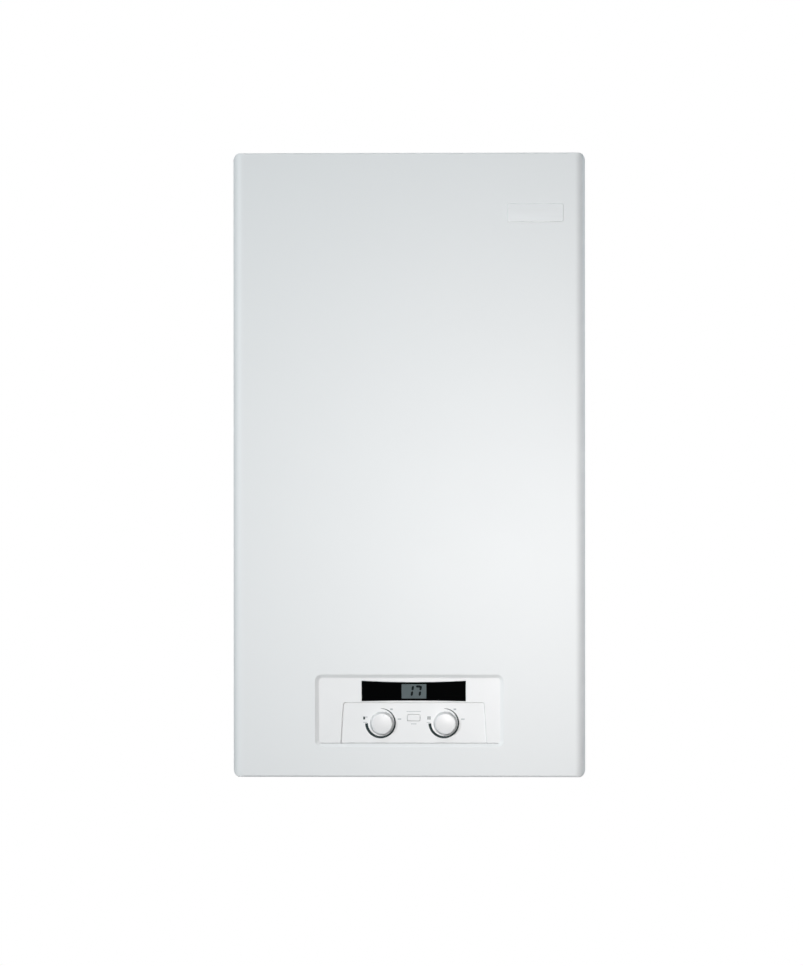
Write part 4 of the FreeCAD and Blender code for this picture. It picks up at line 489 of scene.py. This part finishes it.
def panelDepth(x, z):
    # how far the panel lies behind its face: a smooth step at the rounded edge of the recess, whose sides
    # lean outwards, a groove at its foot, and a step round the display and round the button
    fromMiddle = np.abs(x - panel["middle"])
    drop = np.clip((panel["recessTop"] - z) / (panel["recessTop"] - panel["recessFoot"]), -0.2, 1.2)
    side = panel["topHalf"] + (panel["footHalf"] - panel["topHalf"]) * drop
    inX, inZ = side - fromMiddle, panel["recessTop"] - z
    corner = panel["recessCorner"]
    cornerGap = corner - np.hypot(np.clip(corner - inX, 0, None), np.clip(corner - inZ, 0, None))
    inside = np.minimum(np.minimum(inX, inZ), cornerGap)
    recess = panel["recessDepth"] * smoothStep(inside / panel["soft"] + 0.5)
    groove = smoothStep((panel["recessFoot"] + panel["footReach"] - z) / panel["footReach"])
    high, low = displayEdges(x)
    inDisplay = np.minimum(panel["displayHalf"] - fromMiddle, np.minimum(high - z, z - low))
    halfWide, halfHigh = (half + panel["buttonPlay"] for half in panel["buttonHalf"])
    pitCorner = panel["buttonRound"] + panel["buttonPlay"]
    gapX = np.clip(fromMiddle - halfWide + pitCorner, 0, None)
    gapZ = np.clip(np.abs(z - panel["buttonUp"]) - halfHigh + pitCorner, 0, None)
    inPit = pitCorner - np.hypot(gapX, gapZ)
    pit = panel["buttonPit"] * smoothStep(inPit / panel["edgeSoft"] + 0.5)
    display = panel["displayDepth"] * smoothStep(inDisplay / panel["edgeSoft"] + 0.5)
    return np.maximum(np.maximum(recess + panel["footGroove"] * groove, pit), display)


# the panel's grid: its spacings, and how far the close lines reach on each side of an edge
lines = {
    "plain": 0.004, "close": 0.00022, "least": 0.00009, "places": 6,
    "recessShift": 0.0008, "recessReach": 0.0022, "endReach": 0.0005, "buttonReach": 0.0012,
    "bowShift": 0.0008, "bowReach": 0.0014, "lowReach": 0.0010, "footShift": 0.0005, "footReach": 0.0010,
}


def linesNear(low, high, marks):
    # grid lines from low to high: a plain spacing, and close ones round each mark (place, reach)
    found = [np.linspace(low, high, int((high - low) / lines["plain"]) + 1)]
    for place, reach in marks:
        found.append(np.arange(place - reach, place + reach, lines["close"]))
    found = np.unique(np.round(np.concatenate(found), lines["places"]))
    found = found[(found >= low) & (found <= high)]
    return found[np.concatenate([[True], np.diff(found) > lines["least"]])]


recessEdges = (panel["topHalf"] + lines["recessShift"], panel["footHalf"])
xMarks = [(panel["middle"] + side * edge, lines["recessReach"]) for side in (-1, 1) for edge in recessEdges]
xMarks += [(panel["middle"] + side * panel["displayHalf"], lines["endReach"]) for side in (-1, 1)]
xMarks.append((panel["middle"], panel["buttonHalf"][0] + lines["buttonReach"]))
zMarks = [(panel["buttonUp"], panel["buttonHalf"][1] + lines["buttonReach"]),
          (panel["recessTop"] - lines["recessShift"], lines["recessReach"]),
          (panel["displayHigh"] - lines["bowShift"], lines["bowReach"]),
          (panel["displayLow"], lines["lowReach"]),
          (panel["recessFoot"] + lines["footShift"], lines["footReach"])]
gridX, gridZ = np.meshgrid(linesNear(-panel["halfWide"], panel["halfWide"], xMarks),
                           linesNear(panel["low"], panel["high"], zMarks))
front = np.stack([gridX, panel["face"] + panelDepth(gridX, gridZ), gridZ], -1)
rows, across = front.shape[:2]
# the rim of the grid is carried straight back and closed by one flat face
rimIndex = np.concatenate([np.arange(across), np.arange(1, rows) * across + across - 1,
                           (rows - 1) * across + np.arange(across - 2, -1, -1),
                           np.arange(rows - 2, 0, -1) * across])
rim = front.reshape(-1, 3)[rimIndex].copy()
rim[:, 1] = panel["back"]
base, count = rows * across, len(rimIndex)
here = np.arange(count)
after = (here + 1) % count
skirt = np.stack([rimIndex, base + here, base + after, rimIndex[after]], -1)
faces = gridFaces(rows, across, False, False) + skirt.tolist() + [list(range(base, base + count))]
fascia = putMesh("fascia", np.concatenate([front.reshape(-1, 3), rim]), faces, panel["crease"])
finishPiece(fascia, "control_box", "fascia_plastic", finishes["fascia_plastic"], "control_fascia")

# display window: a plate whose long edges bow inwards
glass = {"front": -0.3411, "back": -0.3371, "play": 0.0001, "edge": 0.00012, "steps": 41}
alongX = np.linspace(-1, 1, glass["steps"]) * (panel["displayHalf"] - glass["play"]) + panel["middle"]
topEdge, footEdge = displayEdges(alongX)
outline = np.concatenate([np.stack([alongX[::-1], topEdge[::-1] - glass["play"]], -1),
                          np.stack([alongX, footEdge + glass["play"]], -1)])
displayWindow = plate("displayWindow", outline, glass["back"], glass["front"], glass["edge"])
finishPiece(displayWindow, "control_box", "display_black", finishes["display_black"], "display_window")

readout = {
    "left": -0.0091, "right": 0.0203, "low": upFrom(0.0930), "high": upFrom(0.1100), "thick": 0.00012,
    "sunk": 0.00005, "corner": 0.0006, "cornerSteps": 4, "digitHigh": 0.0130, "digitWide": 0.0088,
    "stroke": 0.0026, "slant": 0.15, "gap": 0.0003, "rise": 0.0006, "barSunk": 0.00002, "barThick": 0.00006,
    "digits": ((-0.0048, (2, 3)), (0.0046, (1, 2, 3))),
}
lcdFront = glass["front"] - readout["thick"]
lcdHalf = ((readout["right"] - readout["left"]) / 2, (readout["high"] - readout["low"]) / 2)
lcdMiddle = ((readout["right"] + readout["left"]) / 2, (readout["high"] + readout["low"]) / 2)
lcd = plate("readoutGlass", roundedOutline(lcdMiddle, lcdHalf, readout["corner"], readout["cornerSteps"]),
            glass["front"] + readout["sunk"], lcdFront)
finishPiece(lcd, "control_box", "display_glass", finishes["display_glass"])


def segmentOutline(kind, wide, high, stroke, gap):
    # one bar of a seven-bar digit with pointed ends: 1 top, 2 upper right, 3 lower right
    s = stroke / 2
    if kind == 1:
        return np.array([(wide - s, high - s), (wide - 2 * s, high), (2 * s, high), (s, high - s),
                         (2 * s, high - 2 * s), (wide - 2 * s, high - 2 * s)])
    low = high / 2 if kind == 2 else 0.0
    top = low + high / 2
    return np.array([(wide - s, top - gap), (wide - 2 * s, top - s - gap), (wide - 2 * s, low + s + gap),
                     (wide - s, low + gap), (wide, low + s + gap), (wide, top - s - gap)])


digitInk = finish("digitInk", (0.001, 0.004, 0.005), 0.1, 0.004, (0.5, 0.6), grain=0.0004, specular=0.03)
for index, (left, bars) in enumerate(readout["digits"]):
    for bar in bars:
        shape = segmentOutline(bar, readout["digitWide"], readout["digitHigh"], readout["stroke"],
                               readout["gap"])
        shape[:, 0] += left + shape[:, 1] * readout["slant"]
        shape[:, 1] += lcdMiddle[1] - readout["digitHigh"] / 2 + readout["rise"]
        piece = plate(f"digit{index + 1}Bar{bar}", shape, lcdFront + readout["barSunk"],
                      lcdFront - readout["barThick"])
        finishPiece(piece, "control_box", "display_glass", digitInk)

print("stage 5: knobs, button, scales and badge")

knob = {
    "up": upFrom(0.0634), "left": -0.0323, "right": 0.0429, "leftTurn": 12.0, "rightTurn": 230.0,
    "base": 0.0142, "skirt": 0.0003, "wall": 0.0012, "face": 0.0126, "edge": 0.0016, "dome": 0.0004,
    "tip": 0.0004, "foot": -0.3407, "hollow": 0.001, "front": -0.3472, "hub": 0.0055, "hubBack": -0.3222,
    "edgeSteps": 9, "domeSteps": 12, "around": 96, "crease": 35,
    "pointer": (0.0062, 0.0112), "pointerHalf": 0.00035, "pointerHeight": 0.00012,
}


def turnedPiece(name, centre, profile, around, crease):
    # a profile of (radius, y) points turned about a line through (x, z) parallel to y, from back to front
    turns = np.linspace(0, 2 * math.pi, around, endpoint=False)
    radius, depth = (values[:, None] for values in np.array(profile).T)
    grid = np.stack([centre[0] + radius * np.cos(turns), np.broadcast_to(depth, (len(radius), around)),
                     centre[1] + radius * np.sin(turns)], -1)
    return surface(name, grid, caps=True, crease=crease)


def knobProfile(values):
    # hub, flat underside, tapering side, a quarter circle, then a face that rises to the middle as a parabola
    edge, front, face = values["edge"], values["front"] + values["dome"], values["face"]
    rim = [(face - edge + edge * math.cos(a), front + edge - edge * math.sin(a))
           for a in np.linspace(0, quarterTurn, values["edgeSteps"])]
    dome = [(r, front - values["dome"] * (1 - (r / (face - edge)) ** 2))
            for r in np.linspace(face - edge, values["tip"], values["domeSteps"])[1:]]
    foot, under, inner = values["foot"], values["foot"] + values["hollow"], values["base"] - values["wall"]
    return [(values["hub"], values["hubBack"]), (values["hub"], under), (inner, under), (inner, foot),
            (values["base"] - values["skirt"], foot), (values["base"], foot - values["skirt"]), *rim, *dome]


def barShape(centre, turn, start, end, half):
    # a straight bar lying along a ray from a centre, at a clockwise angle from the top
    a = math.radians(turn)
    ray, side = np.array([math.sin(a), math.cos(a)]), np.array([math.cos(a), -math.sin(a)])
    corners = [(start, half), (end, half), (end, -half), (start, -half)]
    return np.array([np.array(centre) + ray * along + side * over for along, over in corners])


def inked(name, body, slot, material, outline, back, height, sunk=0.00002):
    # a printed or raised mark standing on a face at y = back
    ring = np.asarray(outline, float)
    ahead = np.roll(ring, -1, 0)
    if (ring[:, 0] * ahead[:, 1] - ahead[:, 0] * ring[:, 1]).sum() < 0:
        ring = ring[::-1]
    finishPiece(plate(name, ring, back + sunk, back - height), body, slot, material)


# the pointer ridge on each knob is drawn as a thin strip in a darker grey than the knob's plastic: painted
# shade standing in for the shade along the ridge
paintedPointerShade = finish("knobPointer", (0.55, 0.59, 0.61), 0.01, 0.02, (0.4, 0.5), grain=0.0005, depth=0.000004)
for name, body, x, turn in (("hotWaterKnob", "hot_water_knob", knob["left"], knob["leftTurn"]),
                            ("heatingKnob", "heating_knob", knob["right"], knob["rightTurn"])):
    made = turnedPiece(name, (x, knob["up"]), knobProfile(knob), knob["around"], knob["crease"])
    finishPiece(made, body, "knob_plastic", finishes["knob_plastic"], body)
    line = barShape((x, knob["up"]), turn, *knob["pointer"], knob["pointerHalf"])
    inked(name + "Pointer", body, "knob_plastic", paintedPointerShade, line, knob["front"] + knob["dome"],
          knob["pointerHeight"])

press = {"back": -0.3371, "front": -0.3408, "edge": 0.0004, "cornerSteps": 6}
button = plate("resetButton", roundedOutline((panel["middle"], panel["buttonUp"]), panel["buttonHalf"],
                                             panel["buttonRound"], press["cornerSteps"]),
               press["back"], press["front"], press["edge"])
finishPiece(button, "reset_button", "button_plastic", finishes["button_plastic"], "reset_button")

scale = {
    "shift": (-0.0015, 0.0006), "radius": 0.0170, "start": 0.0, "end": 268.0, "thin": 0.0002, "thick": 0.0034,
    "power": 0.62, "steps": 90, "height": 0.00004,
}
recessFace = panel["face"] + panel["recessDepth"]
printInk = finish("printInk", (0.013, 0.024, 0.026), 0.06, 0.004, (0.45, 0.55), grain=0.0004,
                  depth=0.000003, specular=0.15)
paleInk = finish("paleInk", (0.36, 0.39, 0.40), 0.04, 0.004, (0.45, 0.55), grain=0.0004, depth=0.000003)
# printed marks beside the knobs: x and height from the knob's middle, width, height, ink
nearBoth = {
    "Underline": (-0.0200, 0.0012, 0.0046, 0.0007, paleInk),
    "MarkUpper": (0.0112, 0.0167, 0.0030, 0.0019, paleInk),
    "MarkSide": (0.0207, 0.0051, 0.0042, 0.0012, paleInk),
}
tapSign = {
    "TapBody": (-0.0212, 0.0063, 0.0022, 0.0034, printInk),
    "TapArm": (-0.0186, 0.0075, 0.0028, 0.0010, paleInk),
}
radiatorSign = {f"Fin{k}": (-0.0212 + 0.0011 * k, 0.0064, 0.0005, 0.0038, printInk) for k in range(4)}
radiatorSign["FinRail"] = (-0.01955, 0.0081, 0.0038, 0.0005, paleInk)
# lines over and under the button: height above the casing's lower edge, width, height
buttonLines = {"Above": (0.0776, 0.0170, 0.0006), "Below": (0.0628, 0.0066, 0.0009)}


def tapered(centre, values):
    # an arc whose thickness grows clockwise as a power of the share of its length
    turns = np.radians(np.linspace(values["start"], values["end"], values["steps"]))
    share = np.linspace(0, 1, values["steps"]) ** values["power"]
    thick = values["thin"] + (values["thick"] - values["thin"]) * share
    ray = np.stack([np.sin(turns), np.cos(turns)], -1)
    outer, inner = values["radius"] + thick / 2, values["radius"] - thick / 2
    return np.concatenate([centre + ray * outer[:, None], (centre + ray * inner[:, None])[::-1]])


def oblong(x, z, wide, high):
    return np.array([(x - wide / 2, z - high / 2), (x + wide / 2, z - high / 2), (x + wide / 2, z + high / 2),
                     (x - wide / 2, z + high / 2)])


def printed(name, outline, ink):
    inked(name, "control_box", "fascia_plastic", ink, outline, recessFace, scale["height"])


for name, x, sign in (("hotWater", knob["left"], tapSign), ("heating", knob["right"], radiatorSign)):
    printed(name + "Scale", tapered(np.array([x, knob["up"]]) + scale["shift"], scale), printInk)
    for kind, (right, up, wide, high, ink) in {**nearBoth, **sign}.items():
        printed(name + kind, oblong(x + right, knob["up"] + up, wide, high), ink)
for kind, (up, wide, high) in buttonLines.items():
    printed("buttonLine" + kind, oblong(panel["middle"], upFrom(up), wide, high), paleInk)

badgeSize = {
    "middle": (0.1495, upFrom(0.6687)), "half": (0.03325, 0.0107), "corner": 0.0016, "cornerSteps": 6,
    "back": -0.344, "front": -0.3448, "edge": 0.00035,
}
badge = plate("badge", roundedOutline(badgeSize["middle"], badgeSize["half"], badgeSize["corner"],
                                      badgeSize["cornerSteps"]),
              badgeSize["back"], badgeSize["front"], badgeSize["edge"])
finishPiece(badge, "cover", "silver_badge", finishes["silver_badge"], "badge_plate")

print("stage 6: camera, lights and backdrop")

view = {
    "target": (-0.009, -0.344, -0.3464), "away": 3.0, "turn": 0.8, "lift": 0.0, "roll": 0.03,
    "lens": 113.5, "sensor": 36.0, "clip": (0.05, 60.0),
}
turn, lift = math.radians(view["turn"]), math.radians(view["lift"])
eye = [view["target"][0] + view["away"] * math.sin(turn) * math.cos(lift),
       view["target"][1] - view["away"] * math.cos(turn) * math.cos(lift),
       view["target"][2] + view["away"] * math.sin(lift)]
lens = bpy.data.cameras.new("camera")
lens.sensor_fit, lens.sensor_width, lens.lens = "HORIZONTAL", view["sensor"], view["lens"]
lens.clip_start, lens.clip_end = view["clip"]
camera = bpy.data.objects.new("camera", lens)
bpy.context.scene.collection.objects.link(camera)
camera.location = eye
camera.rotation_euler = (quarterTurn - lift, math.radians(view["roll"]), turn)
bpy.context.scene.camera = camera

# square area lamps: where they stand, what they aim at, side, watts, colour and the width of the beam
lamps = {
    "glow": {"place": (0.20, -2.6, -0.45), "aim": (0.20, -0.34, -0.45), "side": 0.2, "power": 3.3,
             "colour": (1.0, 0.962, 0.945), "beam": 60},
    "side": {"place": (-2.8, -3.0, 0.2), "aim": (0, -0.34, -0.4), "side": 0.4, "power": 70.0,
             "colour": (0.90, 0.97, 1.0), "beam": 180},
    "above": {"place": (0.1, -2.2, 3.0), "aim": (0, -0.34, -0.4), "side": 0.6, "power": 31.0,
              "colour": (0.90, 0.97, 1.0), "beam": 180},
    "rightRim": {"place": (3.4, 0.9, 0.2), "aim": (0, -0.2, -0.35), "side": 1.2, "power": 38.0,
                 "colour": (0.80, 0.93, 1.0), "beam": 180},
    "leftRim": {"place": (-3.2, 1.6, 0.2), "aim": (0, -0.2, -0.35), "side": 1.2, "power": 6.0,
                "colour": (0.80, 0.93, 1.0), "beam": 180},
}
for name, values in lamps.items():
    lamp = bpy.data.lights.new(name, "AREA")
    lamp.shape, lamp.size, lamp.size_y = "RECTANGLE", values["side"], values["side"]
    lamp.energy, lamp.color, lamp.spread = values["power"], values["colour"], math.radians(values["beam"])
    stand = bpy.data.objects.new(name, lamp)
    bpy.context.scene.collection.objects.link(stand)
    stand.location = values["place"]
    towards = np.array(values["aim"]) - np.array(values["place"])
    flat = math.hypot(towards[0], towards[1])
    heading = math.atan2(towards[1], towards[0]) - quarterTurn
    stand.rotation_euler = (math.atan2(flat, -towards[2]), 0, heading)


def paleForSight(graph, lit):
    # white for the camera, for mirrors and for glass, and the plain shader for the light on the object
    white = graph.nodes.new("ShaderNodeEmission")
    mixed = graph.nodes.new("ShaderNodeMixShader")
    paths = graph.nodes.new("ShaderNodeLightPath")
    seen = paths.outputs["Is Camera Ray"]
    for ray in ("Is Glossy Ray", "Is Transmission Ray"):
        either = graph.nodes.new("ShaderNodeMath")
        either.operation = "MAXIMUM"
        graph.links.new(seen, either.inputs[0])
        graph.links.new(paths.outputs[ray], either.inputs[1])
        seen = either.outputs["Value"]
    graph.links.new(seen, mixed.inputs["Fac"])
    graph.links.new(lit, mixed.inputs[1])
    graph.links.new(white.outputs["Emission"], mixed.inputs[2])
    return mixed.outputs["Shader"]


# the floor lies far below, so that a view from below isn't blocked
backdrop = {
    "sky": (0.84, 0.94, 1.0, 1), "skyStrength": 0.06, "floor": (0.80, 0.81, 0.82, 1), "floorRough": 0.9,
    "halfWide": 6, "near": -8, "far": 6, "level": -5,
}
world = bpy.data.worlds.new("studio")
world.use_nodes = True
graph = world.node_tree
sky = graph.nodes["Background"]
sky.inputs["Color"].default_value = backdrop["sky"]
sky.inputs["Strength"].default_value = backdrop["skyStrength"]
graph.links.new(paleForSight(graph, sky.outputs["Background"]), graph.nodes["World Output"].inputs["Surface"])
bpy.context.scene.world = world

paleFloor, graph, shader, place = newMaterial("paleFloor")
shader.inputs["Base Color"].default_value = backdrop["floor"]
shader.inputs["Roughness"].default_value = backdrop["floorRough"]
graph.links.new(paleForSight(graph, shader.outputs["BSDF"]), graph.nodes["Material Output"].inputs["Surface"])
ends = [[(x, y, backdrop["level"]) for x in (-backdrop["halfWide"], backdrop["halfWide"])]
        for y in (backdrop["near"], backdrop["far"])]
board = surface("studioFloor", ends, closeAcross=False)
board.data.materials.append(paleFloor)
board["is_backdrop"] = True

bpy.context.scene.view_settings.view_transform = "Standard"
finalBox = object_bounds()


def plain(value):
    # vectors and arrays as plain lists of numbers
    if isinstance(value, dict):
        return {key: plain(part) for key, part in value.items()}
    if isinstance(value, (int, float)):
        return float(value)
    return [plain(part) for part in value]


{"cad": plain(cadBox), "visual": plain(finalBox)}
print("stage 7: finishing")
